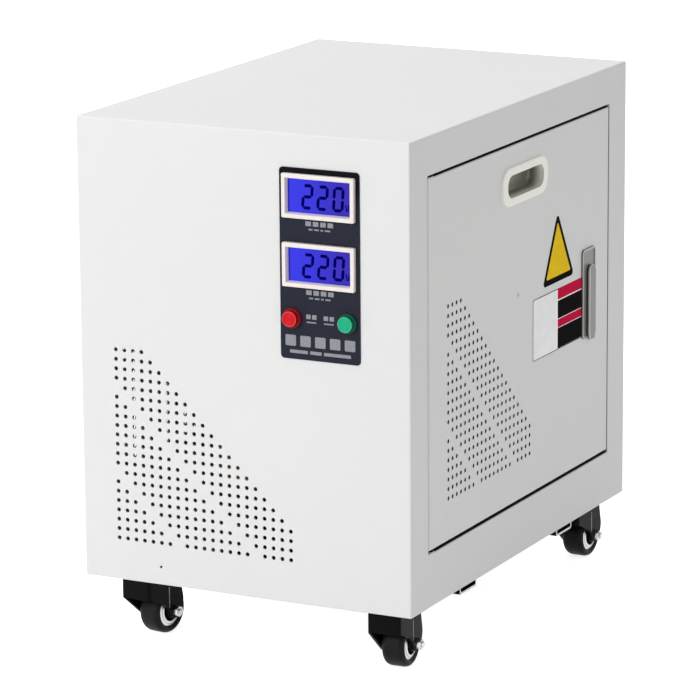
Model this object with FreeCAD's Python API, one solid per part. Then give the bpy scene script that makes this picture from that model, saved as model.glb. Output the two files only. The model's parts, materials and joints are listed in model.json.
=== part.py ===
import FreeCAD, Part
import math
import os
from FreeCAD import Vector

# Isolation transformer in a ventilated sheet-metal cabinet on four swivel casters.
# Millimetres. +Z is up, the front faces -Y, the lettered door side is +X.
# The origin is on the floor, under the middle of the overall footprint.

# Driving dimensions of the cabinet
cabinet_width = 377.0
cabinet_depth = 541.0
cabinet_height = 485.0
caster_height = 75.0
sheet = 1.5
bend_inner = 0.4
fit_gap = 0.3
running_gap = 0.05
round_end_share = 0.4995
dome_share = 0.9

# Door opening in each side, as the width of the metal left round it
front_margin = 40.5
rear_margin = 46.0
rear_post_width = 20.0
top_margin = 40.5
bottom_margin = 56.5
lip_depth = 15.0

# Door pan
door_depth = 15.0
door_gap_side = 1.5
door_gap_top = 2.2
door_gap_bottom = 3.0
hinge_pin_radius = 2.0
hinge_collar_radius = 3.2
hinge_from_face = 4.5
hinge_from_edge = 10.0
hinge_pin_tip = 3.0
hinge_pin_tail = 2.0

# Punched ventilation field, the same in the front and in both doors
hole_radius = 2.25
hole_pitch = 10.0
grid_count = 21
first_row_holes = 4
first_gap_row = 4
second_gap_row = 13
front_grid_from_left = 41.5
front_grid_top = 245.0
door_grid_front = 87.0
door_grid_top = 304.0

# Small hole low in the front wall, and a blind rivet in each door
front_hole_radius = 1.5
front_hole_from_left = 90.2
front_hole_height = 19.2
rivet_from_front = 257.2
rivet_height = 281.0
rivet_head_radius = 2.4
rivet_head_height = 0.9
rivet_stem_radius = 1.6
rivet_tail = 2.0

# Instrument plate and what it carries
plate_width = 89.0
plate_height = 195.0
plate_thickness = 1.2
plate_corner = 4.0
plate_from_right = 54.8
plate_from_top = 34.0
meter_width = 80.5
meter_height = 45.0
meter_proud = 4.5
meter_corner = 1.5
meter_case_width = 76.0
meter_case_height = 39.0
meter_case_depth = 32.0
meter_wall = 2.0
window_width = 70.0
window_height = 34.0
window_bevel = 1.2
window_bevel_depth = 4.0
window_ledge = 1.0
display_thickness = 4.0
board_thickness = 1.6
meter_from_plate_top = 28.0
meter_spacing = 70.0
lamp_below_meter = 32.5
lamp_spacing = 62.0
lamp_radius = 10.2
lamp_proud = 8.2
lamp_edge = 1.0
lamp_barrel_radius = 8.0
lamp_barrel_length = 30.0
lamp_nut_flats = 21.0
lamp_nut_height = 4.5

# Flush pull in each door
pull_from_door_front = 229.6
pull_from_door_top = 42.8
pull_width = 113.0
pull_height = 40.5
pull_corner = 17.0
pull_proud = 2.5
pocket_width = 90.5
pocket_height = 24.0
pocket_corner = 11.5
pocket_depth = 19.0
pull_wall = 1.8
pull_edge = 1.6

# Quarter-turn lock in each door
lock_from_door_rear = 55.2
lock_centre_z = 247.8
lock_width = 34.0
lock_height = 98.0
lock_corner = 5.0
lock_thickness = 2.0
lock_rim = 2.2
lock_recess = 0.8
lever_offset = 2.5
lever_pivot_z = 271.0
lever_width = 15.0
lever_reach = 75.0
lever_thickness = 3.5
lever_tip_width = 10.0
lever_taper = 9.0
lever_tip_corner = 1.7
lever_chamfer = 0.9
spindle_radius = 5.0
barrel_radius = 9.0
barrel_length = 11.0
lock_nut_flats = 24.0
lock_nut_height = 5.0
cam_thickness = 3.0
cam_width = 14.0
cam_corner = 6.0
cam_overlap = 9.0
cam_clearance = 0.6
cam_nut_flats = 13.0
cam_nut_height = 4.0

# Rear wall: ventilation slots, cable glands and earth stud
slot_length = 74.0
slot_width = 6.0
slot_rows = 6
slot_columns = 3
slot_pitch_x = 98.0
slot_pitch_z = 16.0
slot_from_top = 46.0
gland_spacing = 120.0
gland_height = 36.0
gland_thread_radius = 12.0
gland_bore_radius = 8.0
gland_flats = 30.0
gland_flange = 5.0
gland_proud = 24.0
gland_inside = 12.0
gland_nut_height = 5.0
gland_cap_edge = 3.8
earth_radius = 4.0
earth_proud = 20.0
earth_inside = 16.0
earth_nut_flats = 13.0
earth_nut_height = 6.5

# Cross channels under the floor, which carry the transformer feet
channel_width = 40.0
channel_drop = 7.0
channel_wall = 2.5
channel_end_gap = 2.0
front_channel_from_front = 138.0
rear_channel_from_rear = 159.0

# Transformer: two-leg laminated core with one winding pair on each leg
leg_width = 80.0
core_thickness = 90.0
window_span = 120.0
core_window_height = 200.0
core_lift = 8.0
winding_clearance = 4.0
inner_winding = 16.0
winding_duct = 6.0
outer_winding = 20.0
winding_end_gap = 10.0
winding_corner = 8.0
clamp_flange = 42.0
clamp_wall = 4.0
clamp_length = 300.0
lower_clamp_height = 76.0
upper_clamp_height = 60.0
block_width = 20.0
block_spacing = 56.0
block_from_web = 1.0
core_bolt_radius = 5.0
core_bolt_spacing = 236.0
core_bolt_head_flats = 17.0
core_bolt_head_height = 7.0
core_bolt_tail = 5.0
foot_bolt_radius = 5.0
foot_bolt_x = 66.0

# Terminal bracket and blocks inside the rear wall
bracket_width = 270.0
bracket_height = 50.0
bracket_stand_off = 26.0
bracket_foot = 18.0
bracket_above_winding = 12.0
terminal_spacing = 126.0
terminal_width = 104.0
terminal_height = 38.0
terminal_base = 12.0
barrier_height = 14.0
barrier_thickness = 3.0
terminal_poles = 3
terminal_screw_radius = 5.0
terminal_screw_height = 4.0

# Leads from the coils to the terminals
lead_radius = 2.2
lead_from_middle = 14.0
lead_spacing = 24.0
lead_rise = 30.0
lead_crest = 438.0
arc_share = 0.45

# Casters
wheel_radius = 25.0
tread_width = 25.0
tread_thickness = 8.0
tread_edge = 4.5
hub_face_inset = 3.0
hub_ring_inner = 11.5
hub_ring_proud = 1.0
hub_dish_depth = 3.0
hub_ring_edge = 0.8
hub_centre_radius = 8.5
hub_centre_width = 28.4
axle_radius = 4.0
caster_trail = 25.0
caster_from_side = 46.0
caster_from_front = 48.0
caster_from_rear = 38.0
caster_plate_size = 60.0
caster_plate_thickness = 2.5
caster_plate_corner = 6.0
caster_bolt_spacing = 44.0
caster_bolt_radius = 3.0
caster_bolt_flats = 10.0
caster_head_height = 3.4
caster_nut_height = 5.0
race_radius = 16.5
race_height = 4.0
race_groove = 1.2
crown_wall = 2.5
crown_skirt = 22.5
crown_corner = 5.0
crown_edge = 1.8
kingpin_radius = 4.0
kingpin_head_radius = 7.0
kingpin_head_height = 2.5
leg_gap = 29.4
leg_boss_radius = 10.0
leg_front = 20.5
leg_back = 32.0
leg_front_corner = 5.4
leg_rear_corner = 7.2
axle_nut_flats = 13.0
axle_nut_height = 6.5
axle_tail = 2.5
caster_turns = {"front_left": 8.0, "front_right": -3.0, "rear_left": 4.0, "rear_right": 2.0}

# Places that follow from the sizes above
bend_outer = bend_inner + sheet
rim_radius = 0.93 * sheet
front_proud = plate_thickness + max(lamp_proud, meter_proud)
overall_depth = front_proud + cabinet_depth + gland_proud
front_y = front_proud - overall_depth / 2
rear_y = front_y + cabinet_depth
base_z = caster_height
top_z = base_z + cabinet_height
side_x = cabinet_width / 2
opening_front = front_y + front_margin
opening_rear = rear_y - rear_margin
opening_bottom = base_z + bottom_margin
opening_top = top_z - top_margin
door_front = opening_front + door_gap_side
door_rear = opening_rear - door_gap_side
door_bottom = opening_bottom + door_gap_bottom
door_top = opening_top - door_gap_top
hinge_x = side_x - hinge_from_face
hinge_y = door_front + hinge_from_edge
plate_face_y = front_y - plate_thickness
plate_centre_x = side_x - plate_from_right - plate_width / 2
plate_centre_z = top_z - plate_from_top - plate_height / 2
upper_meter_z = top_z - plate_from_top - meter_from_plate_top
lower_meter_z = upper_meter_z - meter_spacing
lamp_z = lower_meter_z - meter_height / 2 - lamp_below_meter
pull_y = door_front + pull_from_door_front
pull_z = door_top - pull_from_door_top
lock_y = door_rear - lock_from_door_rear
lock_z = base_z + lock_centre_z
lever_y = lock_y + lever_offset
lever_z = base_z + lever_pivot_z
lever_x = side_x + lock_thickness + fit_gap
rivet_y = front_y + rivet_from_front
rivet_z = base_z + rivet_height
cam_outer_x = side_x - max(door_depth, lip_depth) - cam_clearance
floor_top = base_z + sheet
inner_rear_y = rear_y - sheet
front_channel_y = front_y + front_channel_from_front
rear_channel_y = rear_y - rear_channel_from_rear
core_y = (front_channel_y + rear_channel_y) / 2
leg_spacing = leg_width + window_span
core_bottom = floor_top + core_lift
window_bottom = core_bottom + leg_width
window_top = window_bottom + core_window_height
core_top = window_top + leg_width
winding_bottom = window_bottom + winding_end_gap
winding_top = window_top - winding_end_gap
bracket_z = winding_top + bracket_above_winding
crown_top = base_z - caster_plate_thickness - race_height - fit_gap
leg_outer = leg_gap / 2 + crown_wall


def point(plane, a, b, level):
    """A point of a plane: front is x and z, side is y and z, floor is x and y."""
    if plane == "front":
        return Vector(a, level, b)
    if plane == "side":
        return Vector(level, a, b)
    return Vector(a, b, level)


def outline(plane, corners, radii, level):
    """Closed wire through the corners, each rounded by its radius with a tangent arc."""
    starts = []
    ends = []
    arcs = []
    total = len(corners)
    for index, corner in enumerate(corners):
        here = point(plane, corner[0], corner[1], level)
        before = corners[index - 1]
        after = corners[(index + 1) % total]
        to_before = (point(plane, before[0], before[1], level) - here).normalize()
        to_after = (point(plane, after[0], after[1], level) - here).normalize()
        radius = radii[index]
        if radius <= 0:
            starts.append(here)
            ends.append(here)
            arcs.append(None)
            continue
        half = to_before.getAngle(to_after) / 2
        reach = radius / math.tan(half)
        middle = (to_before + to_after).normalize()
        centre = here + middle * (radius / math.sin(half))
        starts.append(here + to_before * reach)
        ends.append(here + to_after * reach)
        arcs.append(centre - middle * radius)
    edges = []
    for index in range(total):
        if arcs[index]:
            edges.append(Part.Arc(starts[index], arcs[index], ends[index]).toShape())
        following = (index + 1) % total
        if ends[index].distanceToPoint(starts[following]) > 1e-6:
            edges.append(Part.LineSegment(ends[index], starts[following]).toShape())
    return Part.Wire(edges)


def rectangle(plane, centre_a, centre_b, width, height, level, radius=0.0):
    """Rounded rectangle round a centre."""
    a = width / 2
    b = height / 2
    corners = [(centre_a - a, centre_b - b), (centre_a + a, centre_b - b),
               (centre_a + a, centre_b + b), (centre_a - a, centre_b + b)]
    return outline(plane, corners, [radius] * 4, level)


def circle(plane, a, b, level, radius):
    axis = point(plane, 0, 0, 1)
    return Part.Wire([Part.Circle(point(plane, a, b, level), axis, radius).toShape()])


def extrude(plane, wires, depth):
    """Solid from an outer wire and its holes, pushed along the plane's normal."""
    face = Part.makeFace(wires, "Part::FaceMakerBullseye")
    return face.extrude(point(plane, 0, 0, depth))


def slab(plane, centre_a, centre_b, width, height, level, depth, radius=0.0):
    return extrude(plane, [rectangle(plane, centre_a, centre_b, width, height, level, radius)], depth)


def rod(plane, a, b, level, depth, radius):
    return extrude(plane, [circle(plane, a, b, level, radius)], depth)


def hexagon(plane, a, b, level, depth, flats):
    """Hexagonal prism of a width across flats, such as a nut."""
    reach = flats / math.sqrt(3)
    corners = []
    for step in range(6):
        angle = math.radians(60 * step + 30)
        corners.append((a + reach * math.cos(angle), b + reach * math.sin(angle)))
    return extrude(plane, [outline(plane, corners, [0.0] * 6, level)], depth)


def box(low, high):
    return Part.makeBox(high[0] - low[0], high[1] - low[1], high[2] - low[2], Vector(*low))


def joined(shapes):
    """One solid from pieces that meet."""
    return shapes[0].fuse(shapes[1:]).removeSplitter()


def mirrored(shape):
    return shape.mirror(Vector(0, 0, 0), Vector(1, 0, 0))


def edges_where(shape, chosen):
    return [edge for edge in shape.Edges if chosen(edge)]


def punch_places():
    """Row and column of every hole of the stepped field, counted from its top left."""
    places = []
    for row in range(grid_count):
        for column in range(grid_count):
            reached = column < row + first_row_holes
            left_out = column in (row - first_gap_row, row - second_gap_row)
            if reached and not left_out:
                places.append((row, column))
    return places


def punches(plane, first, top, level, depth):
    """The punch bodies of one field, which starts at `first` and at the height `top`."""
    return [rod(plane, first + column * hole_pitch, top - row * hole_pitch, level, depth, hole_radius)
            for row, column in punch_places()]


def end_panel(outer_y, inward, margin):
    """Front or rear wall: a folded sheet whose returns form the corner posts.

    Beside the door opening each return has a lip, and above and below it the return
    ends square against the flanges of the roof and of the floor.
    """
    edge_y = outer_y + inward * margin
    inner_y = outer_y + inward * sheet
    lip_x = side_x - lip_depth
    lip_y = edge_y - inward * sheet
    plain = [(-side_x, edge_y), (-side_x, outer_y), (side_x, outer_y), (side_x, edge_y),
             (side_x - sheet, edge_y), (side_x - sheet, inner_y),
             (sheet - side_x, inner_y), (sheet - side_x, edge_y)]
    plain_radii = [0, bend_outer, bend_outer, 0, 0, bend_inner, bend_inner, 0]
    lipped = [(-lip_x, edge_y), (-side_x, edge_y), (-side_x, outer_y), (side_x, outer_y),
              (side_x, edge_y), (lip_x, edge_y), (lip_x, lip_y), (side_x - sheet, lip_y),
              (side_x - sheet, inner_y), (sheet - side_x, inner_y),
              (sheet - side_x, lip_y), (-lip_x, lip_y)]
    lipped_radii = [0, bend_outer, bend_outer, bend_outer, bend_outer, 0,
                    0, bend_inner, bend_inner, bend_inner, bend_inner, 0]
    low = extrude("floor", [outline("floor", plain, plain_radii, floor_top)], bottom_margin - sheet)
    middle = extrude("floor", [outline("floor", lipped, lipped_radii, opening_bottom)],
                     opening_top - opening_bottom)
    high = extrude("floor", [outline("floor", plain, plain_radii, opening_top)], top_margin - sheet)
    return joined([low, middle, high])


def lid(outer_z, inward, margin):
    """Roof or floor: a full sheet with a flange on each side, lipped at the door opening."""
    edge_z = outer_z + inward * margin
    inner_z = outer_z + inward * sheet
    lip_x = side_x - lip_depth
    lip_z = edge_z - inward * sheet
    corners = [(-lip_x, edge_z), (-side_x, edge_z), (-side_x, outer_z), (side_x, outer_z),
               (side_x, edge_z), (lip_x, edge_z), (lip_x, lip_z), (side_x - sheet, lip_z),
               (side_x - sheet, inner_z), (sheet - side_x, inner_z),
               (sheet - side_x, lip_z), (-lip_x, lip_z)]
    radii = [0, bend_outer, bend_outer, bend_outer, bend_outer, 0,
             0, bend_inner, bend_inner, bend_inner, bend_inner, 0]
    middle = extrude("front", [outline("front", corners, radii, opening_front)],
                     opening_rear - opening_front)
    level = min(outer_z, inner_z)
    pieces = [middle]
    for outer_y, edge_y in ((front_y, opening_front), (rear_y, opening_rear)):
        ends = [(-side_x, edge_y), (-side_x, outer_y), (side_x, outer_y), (side_x, edge_y)]
        end = extrude("floor", [outline("floor", ends, [0, bend_outer, bend_outer, 0], level)], sheet)
        rim = edges_where(end, lambda edge: on_rim(edge, outer_z, edge_y))
        pieces.append(end.makeFillet(rim_radius, rim))
    return joined(pieces)


def on_rim(edge, outer_z, edge_y):
    """True for an edge that lies in the outer face and isn't the seam with the middle."""
    box_of = edge.BoundBox
    in_face = abs(box_of.ZMin - outer_z) < 1e-6 and abs(box_of.ZMax - outer_z) < 1e-6
    at_seam = abs(box_of.YMin - edge_y) < 1e-6 and abs(box_of.YMax - edge_y) < 1e-6
    return in_face and not at_seam


def front_panel():
    wall = end_panel(front_y, 1, front_margin)
    level = plate_face_y
    depth = plate_thickness + 2 * sheet
    cuts = punches("front", front_grid_from_left - side_x, base_z + front_grid_top, level, depth)
    hole_x = front_hole_from_left - side_x
    cuts.append(rod("front", hole_x, base_z + front_hole_height, level, depth, front_hole_radius))
    return wall.cut(cuts + instrument_cuts(level, depth))


def instrument_cuts(level, depth):
    """Cut-outs for the two meters and the two lamps."""
    cuts = []
    for z in meter_heights():
        cuts.append(slab("front", plate_centre_x, z, meter_case_width, meter_case_height, level, depth))
    for x in lamp_places():
        cuts.append(rod("front", x, lamp_z, level, depth, lamp_barrel_radius))
    return cuts


def meter_heights():
    return (upper_meter_z, lower_meter_z)


def lamp_places():
    return (plate_centre_x - lamp_spacing / 2, plate_centre_x + lamp_spacing / 2)


def instrument_plate():
    plate = slab("front", plate_centre_x, plate_centre_z, plate_width, plate_height,
                 plate_face_y, plate_thickness, plate_corner)
    return plate.cut(instrument_cuts(plate_face_y - sheet, plate_thickness + 2 * sheet))


def meter_housing(z):
    """Moulded bezel and case in one: a bevelled window in front, open at the back."""
    face_y = plate_face_y - meter_proud
    back_y = front_y + sheet + meter_case_depth
    bezel = slab("front", plate_centre_x, z, meter_width, meter_height, face_y, meter_proud, meter_corner)
    rim = edges_where(bezel, lambda edge: edge.BoundBox.YMax < face_y + 1e-6)
    bezel = bezel.makeFillet(meter_corner / 2, rim)
    case = slab("front", plate_centre_x, z, meter_case_width, meter_case_height,
                plate_face_y, back_y - plate_face_y)
    wide = rectangle("front", plate_centre_x, z, window_width + 2 * window_bevel,
                     window_height + 2 * window_bevel, face_y)
    narrow = rectangle("front", plate_centre_x, z, window_width, window_height,
                       face_y + window_bevel_depth)
    bevel = Part.makeLoft([wide, narrow], True)
    ledge_y = face_y + window_bevel_depth
    window = slab("front", plate_centre_x, z, window_width, window_height, ledge_y, window_ledge)
    cavity_y = ledge_y + window_ledge
    cavity = slab("front", plate_centre_x, z, meter_case_width - 2 * meter_wall,
                  meter_case_height - 2 * meter_wall, cavity_y, back_y - cavity_y)
    return joined([bezel, case]).cut([bevel, window, cavity])


def meter_display(z):
    """Liquid-crystal glass with its backlight, and the circuit board behind it."""
    width = meter_case_width - 2 * meter_wall
    height = meter_case_height - 2 * meter_wall
    glass_y = plate_face_y - meter_proud + window_bevel_depth + window_ledge
    glass = slab("front", plate_centre_x, z, width, height, glass_y, display_thickness)
    board = slab("front", plate_centre_x, z, width, height, glass_y + display_thickness, board_thickness)
    pieces = [glass, board]
    for side in (-1, 1):
        pieces.append(slab("front", plate_centre_x + side * width / 4, z, meter_wall, meter_wall,
                           glass_y + display_thickness, meter_case_depth / 2))
    return joined(pieces)


def lamp_lens(x):
    lens = rod("front", x, lamp_z, plate_face_y - lamp_proud, lamp_proud, lamp_radius)
    face = plate_face_y - lamp_proud
    return lens.makeFillet(lamp_edge, edges_where(lens, lambda edge: edge.BoundBox.YMax < face + 1e-6))


def lamp_body(x):
    """Threaded barrel behind the lens, with its nut against the inside of the wall."""
    z = lamp_z
    barrel = rod("front", x, z, plate_face_y, plate_thickness + sheet + lamp_barrel_length,
                 lamp_barrel_radius)
    nut = hexagon("front", x, z, front_y + sheet, lamp_nut_height, lamp_nut_flats)
    return joined([barrel, nut])


def rear_panel():
    """Flat rear wall, butt-welded between two folded corner posts."""
    wall = end_panel(rear_y, -1, rear_margin)
    level = rear_y - 2 * sheet
    depth = 3 * sheet
    cuts = []
    for row in range(slot_rows):
        for column in range(slot_columns):
            x = (column - (slot_columns - 1) / 2) * slot_pitch_x
            z = top_z - slot_from_top - row * slot_pitch_z
            corner = round_end_share * slot_width
            cuts.append(slab("front", x, z, slot_length, slot_width, level, depth, corner))
    for x in gland_places():
        cuts.append(rod("front", x, base_z + gland_height, level, depth, gland_thread_radius))
    cuts.append(rod("front", 0, base_z + gland_height, level, depth, earth_radius))
    seam_x = side_x - rear_post_width
    between = box((-seam_x, rear_y - rear_margin, base_z), (seam_x, rear_y, top_z))
    middle = wall.common(between).cut(cuts)
    return Part.makeCompound([middle] + wall.cut(between).Solids)


def gland_places():
    return (-gland_spacing / 2, gland_spacing / 2)


def cable_gland(x):
    """Hexagon flange, domed cap and lock nut round one bore, for a cable to pass through."""
    z = base_z + gland_height
    inside_y = inner_rear_y - gland_inside
    thread = rod("front", x, z, inside_y, gland_inside + sheet + gland_flange, gland_thread_radius)
    flange = hexagon("front", x, z, rear_y, gland_flange, gland_flats)
    cap_y = rear_y + gland_flange
    cap_length = gland_proud - gland_flange
    cap = rod("front", x, z, cap_y, cap_length, gland_thread_radius + fit_gap)
    tip_y = cap_y + cap_length
    cap = cap.makeFillet(gland_cap_edge, edges_where(cap, lambda edge: edge.BoundBox.YMin > tip_y - 1e-6))
    nut = hexagon("front", x, z, inner_rear_y - gland_nut_height, gland_nut_height, gland_flats)
    bore = rod("front", x, z, inside_y - 1, gland_proud + gland_inside + sheet + 2, gland_bore_radius)
    return joined([thread, flange, cap, nut]).cut(bore)


def earth_stud():
    z = base_z + gland_height
    stud = rod("front", 0, z, inner_rear_y - earth_inside, earth_inside + sheet + earth_proud, earth_radius)
    outer = hexagon("front", 0, z, rear_y, earth_nut_height, earth_nut_flats)
    inner = hexagon("front", 0, z, inner_rear_y - earth_nut_height, earth_nut_height, earth_nut_flats)
    return joined([stud, outer, inner])


def hinge_holes():
    """Holes on the hinge line through the lips of the roof and of the floor."""
    low = opening_bottom - 2 * sheet
    holes = []
    for x in (-hinge_x, hinge_x):
        holes.append(rod("floor", x, hinge_y, low, 3 * sheet, hinge_pin_radius))
        holes.append(rod("floor", x, hinge_y, opening_top - sheet, 3 * sheet, hinge_pin_radius))
    return holes


def base_tray():
    tray = lid(base_z, 1, bottom_margin)
    holes = hinge_holes()
    for x, y in foot_places():
        holes.append(rod("floor", x, y, base_z - sheet, 3 * sheet, foot_bolt_radius))
    for x, y in caster_bolt_places():
        holes.append(rod("floor", x, y, base_z - sheet, 3 * sheet, caster_bolt_radius))
    return tray.cut(holes)


def roof():
    return lid(top_z, -1, top_margin).cut(hinge_holes())


def hinge_pins():
    """Four fixed pins: each fills its lip, has a collar in the gap and ends in the door."""
    pins = []
    for x in (-hinge_x, hinge_x):
        low = rod("floor", x, hinge_y, opening_bottom - sheet - hinge_pin_tail,
                  hinge_pin_tail + 2 * sheet + door_gap_bottom + hinge_pin_tip, hinge_pin_radius)
        low_collar = rod("floor", x, hinge_y, opening_bottom, door_gap_bottom - running_gap,
                         hinge_collar_radius)
        high = rod("floor", x, hinge_y, door_top - sheet - hinge_pin_tip,
                   hinge_pin_tail + 2 * sheet + door_gap_top + hinge_pin_tip, hinge_pin_radius)
        high_collar = rod("floor", x, hinge_y, door_top + running_gap, door_gap_top - running_gap,
                          hinge_collar_radius)
        pins.append(joined([low, low_collar]))
        pins.append(joined([high, high_collar]))
    return Part.makeCompound(pins)


def door():
    """Right door: a pan with its edges folded inward, punched, and cut for pull and lock."""
    width = door_rear - door_front
    height = door_top - door_bottom
    middle_y = (door_front + door_rear) / 2
    middle_z = (door_bottom + door_top) / 2
    level = side_x - door_depth
    pan = slab("side", middle_y, middle_z, width, height, level, door_depth)
    rim = edges_where(pan, lambda edge: edge.BoundBox.XMin > side_x - 1e-6)
    pan = pan.makeFillet(bend_outer, rim)
    hollow = slab("side", middle_y, middle_z, width - 2 * sheet, height - 2 * sheet,
                  level - sheet, door_depth, bend_inner)
    through = side_x - 2 * sheet
    cuts = [hollow]
    cuts += punches("side", front_y + door_grid_front, base_z + door_grid_top, through, 3 * sheet)
    cuts.append(pull_cup(through, 3 * sheet))
    cuts.append(rod("side", lever_y, lever_z, through, 3 * sheet, barrel_radius))
    cuts.append(rod("side", rivet_y, rivet_z, through, 3 * sheet, rivet_stem_radius))
    for z in (door_bottom - sheet, door_top - 2 * sheet):
        cuts.append(rod("floor", hinge_x, hinge_y, z, 3 * sheet, hinge_pin_radius + running_gap))
    return Part.makeCompound([pan.cut(cuts), door_rivet()])


def door_rivet():
    """Blind rivet: a domed head outside, a stem through the sheet and an upset tail inside."""
    tail_x = side_x - sheet - rivet_tail
    stem = rod("side", rivet_y, rivet_z, tail_x, rivet_tail + sheet, rivet_stem_radius)
    head = rod("side", rivet_y, rivet_z, side_x, rivet_head_height, rivet_head_radius)
    rim = edges_where(head, lambda edge: edge.BoundBox.XMin > side_x + rivet_head_height - 1e-6)
    head = head.makeFillet(rivet_head_height * dome_share, rim)
    tail = rod("side", rivet_y, rivet_z, tail_x, rivet_tail, rivet_head_radius)
    return joined([stem, head, tail])


def pull_cup(level, depth):
    """Outside of the pull's cup, also the shape of its cut-out."""
    return slab("side", pull_y, pull_z, pocket_width + 2 * pull_wall, pocket_height + 2 * pull_wall,
                level, depth, pocket_corner + pull_wall)


def flush_pull():
    """Moulded finger cup with a rounded flange that lies on the door."""
    floor_x = side_x + pull_proud - pocket_depth
    flange = slab("side", pull_y, pull_z, pull_width, pull_height, side_x, pull_proud, pull_corner)
    rim = edges_where(flange, lambda edge: edge.BoundBox.XMin > side_x + pull_proud - 1e-6)
    flange = flange.makeFillet(pull_edge, rim)
    cup = pull_cup(floor_x - pull_wall, side_x - floor_x + pull_wall)
    pocket = slab("side", pull_y, pull_z, pocket_width, pocket_height, floor_x, pocket_depth, pocket_corner)
    bottom = edges_where(pocket, lambda edge: edge.BoundBox.XMax < floor_x + 1e-6)
    pocket = pocket.makeFillet(2 * pull_wall, bottom)
    return joined([flange, cup]).cut(pocket)


def lock_plate():
    """Escutcheon with a shallow recess, its barrel through the door and the barrel's nut."""
    plate = slab("side", lock_y, lock_z, lock_width, lock_height, side_x, lock_thickness, lock_corner)
    recess = slab("side", lock_y, lock_z, lock_width - 2 * lock_rim, lock_height - 2 * lock_rim,
                  side_x + lock_thickness - lock_recess, lock_recess, lock_corner - lock_rim)
    barrel = rod("side", lever_y, lever_z, side_x - barrel_length, barrel_length, barrel_radius)
    bore = rod("side", lever_y, lever_z, side_x - barrel_length, barrel_length + lock_thickness,
               spindle_radius + running_gap)
    body = joined([plate, barrel]).cut([recess, bore])
    nut = hexagon("side", lever_y, lever_z, side_x - sheet - lock_nut_height, lock_nut_height,
                  lock_nut_flats)
    nut = nut.cut(rod("side", lever_y, lever_z, side_x - 2 * lock_nut_height, 3 * lock_nut_height,
                      barrel_radius))
    return Part.makeCompound([body, nut])


def lock_lever():
    """Grip with an arched head and a tapered tip, in one piece with its spindle."""
    half = lever_width / 2
    tip = lever_tip_width / 2
    low = lever_z - lever_reach
    corners = [(lever_y - tip, low), (lever_y + tip, low), (lever_y + half, low + lever_taper),
               (lever_y + half, lever_z + half), (lever_y - half, lever_z + half),
               (lever_y - half, low + lever_taper)]
    round_head = 2 * round_end_share * half
    radii = [lever_tip_corner, lever_tip_corner, half, round_head, round_head, half]
    grip = extrude("side", [outline("side", corners, radii, lever_x)], lever_thickness)
    face = lever_x + lever_thickness
    rim = edges_where(grip, lambda edge: edge.BoundBox.XMin > face - 1e-6)
    grip = grip.makeChamfer(lever_chamfer, rim)
    end_x = cam_outer_x - cam_thickness - cam_nut_height
    spindle = rod("side", lever_y, lever_z, end_x, lever_x - end_x, spindle_radius)
    return joined([grip, spindle])


def lock_cam():
    """Arm on the spindle's end. It points up while open and turns behind the rear lip."""
    reach = opening_rear + cam_overlap - lever_y
    half = cam_width / 2
    inner_x = cam_outer_x - cam_thickness
    corners = [(lever_y - half, lever_z - barrel_radius), (lever_y + half, lever_z - barrel_radius),
               (lever_y + half, lever_z + reach), (lever_y - half, lever_z + reach)]
    arm = extrude("side", [outline("side", corners, [cam_corner] * 4, inner_x)], cam_thickness)
    boss = rod("side", lever_y, lever_z, inner_x, cam_thickness, barrel_radius)
    hole = rod("side", lever_y, lever_z, inner_x - sheet, cam_thickness + 2 * sheet, spindle_radius)
    arm = joined([arm, boss]).cut(hole)
    nut = hexagon("side", lever_y, lever_z, inner_x - cam_nut_height, cam_nut_height, cam_nut_flats)
    nut = nut.cut(rod("side", lever_y, lever_z, inner_x - 2 * cam_nut_height, 3 * cam_nut_height,
                      spindle_radius))
    return Part.makeCompound([arm, nut])


def cross_channels():
    """Two shallow channels across the underside, open towards the floor sheet."""
    length = cabinet_width - 2 * channel_end_gap
    half = channel_width / 2
    channels = []
    for y in (front_channel_y, rear_channel_y):
        low = base_z - channel_drop
        inner = half - channel_wall
        corners = [(y - half, base_z), (y - half, low), (y + half, low), (y + half, base_z),
                   (y + inner, base_z), (y + inner, low + channel_wall),
                   (y - inner, low + channel_wall), (y - inner, base_z)]
        radii = [0, channel_wall, channel_wall, 0, 0, bend_inner, bend_inner, 0]
        channel = extrude("side", [outline("side", corners, radii, -length / 2)], length)
        holes = [rod("floor", x, foot_y, low - 1, channel_drop, foot_bolt_radius)
                 for x, foot_y in foot_places()]
        channels.append(channel.cut(holes))
    return Part.makeCompound(channels)


def foot_places():
    return [(x, y) for x in (-foot_bolt_x, foot_bolt_x) for y in (front_channel_y, rear_channel_y)]


def core():
    """Laminated core: two legs and two yokes, drilled for the clamping bolts."""
    depth = leg_spacing + leg_width
    frame = rectangle("side", core_y, (core_bottom + core_top) / 2, depth, core_top - core_bottom,
                      -core_thickness / 2)
    window = rectangle("side", core_y, (window_bottom + window_top) / 2, window_span,
                       core_window_height, -core_thickness / 2)
    body = extrude("side", [frame, window], core_thickness)
    holes = [rod("side", y, z, -core_thickness, 2 * core_thickness, core_bolt_radius)
             for y, z in core_bolt_places()]
    return body.cut(holes)


def core_bolt_places():
    heights = (core_bottom + leg_width / 2, core_top - leg_width / 2)
    return [(core_y + side * core_bolt_spacing / 2, z) for z in heights for side in (-1, 1)]


def winding(leg, start, thickness):
    """Coil round a leg, whose inside stands `start` off the iron."""
    y = core_y + leg * leg_spacing / 2
    width = core_thickness + 2 * start
    depth = leg_width + 2 * start
    height = winding_top - winding_bottom
    inner = rectangle("floor", 0, y, width, depth, winding_bottom, winding_corner + start / 2)
    outer = rectangle("floor", 0, y, width + 2 * thickness, depth + 2 * thickness, winding_bottom,
                      winding_corner + start / 2 + thickness)
    return extrude("floor", [outer, inner], height)


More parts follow.
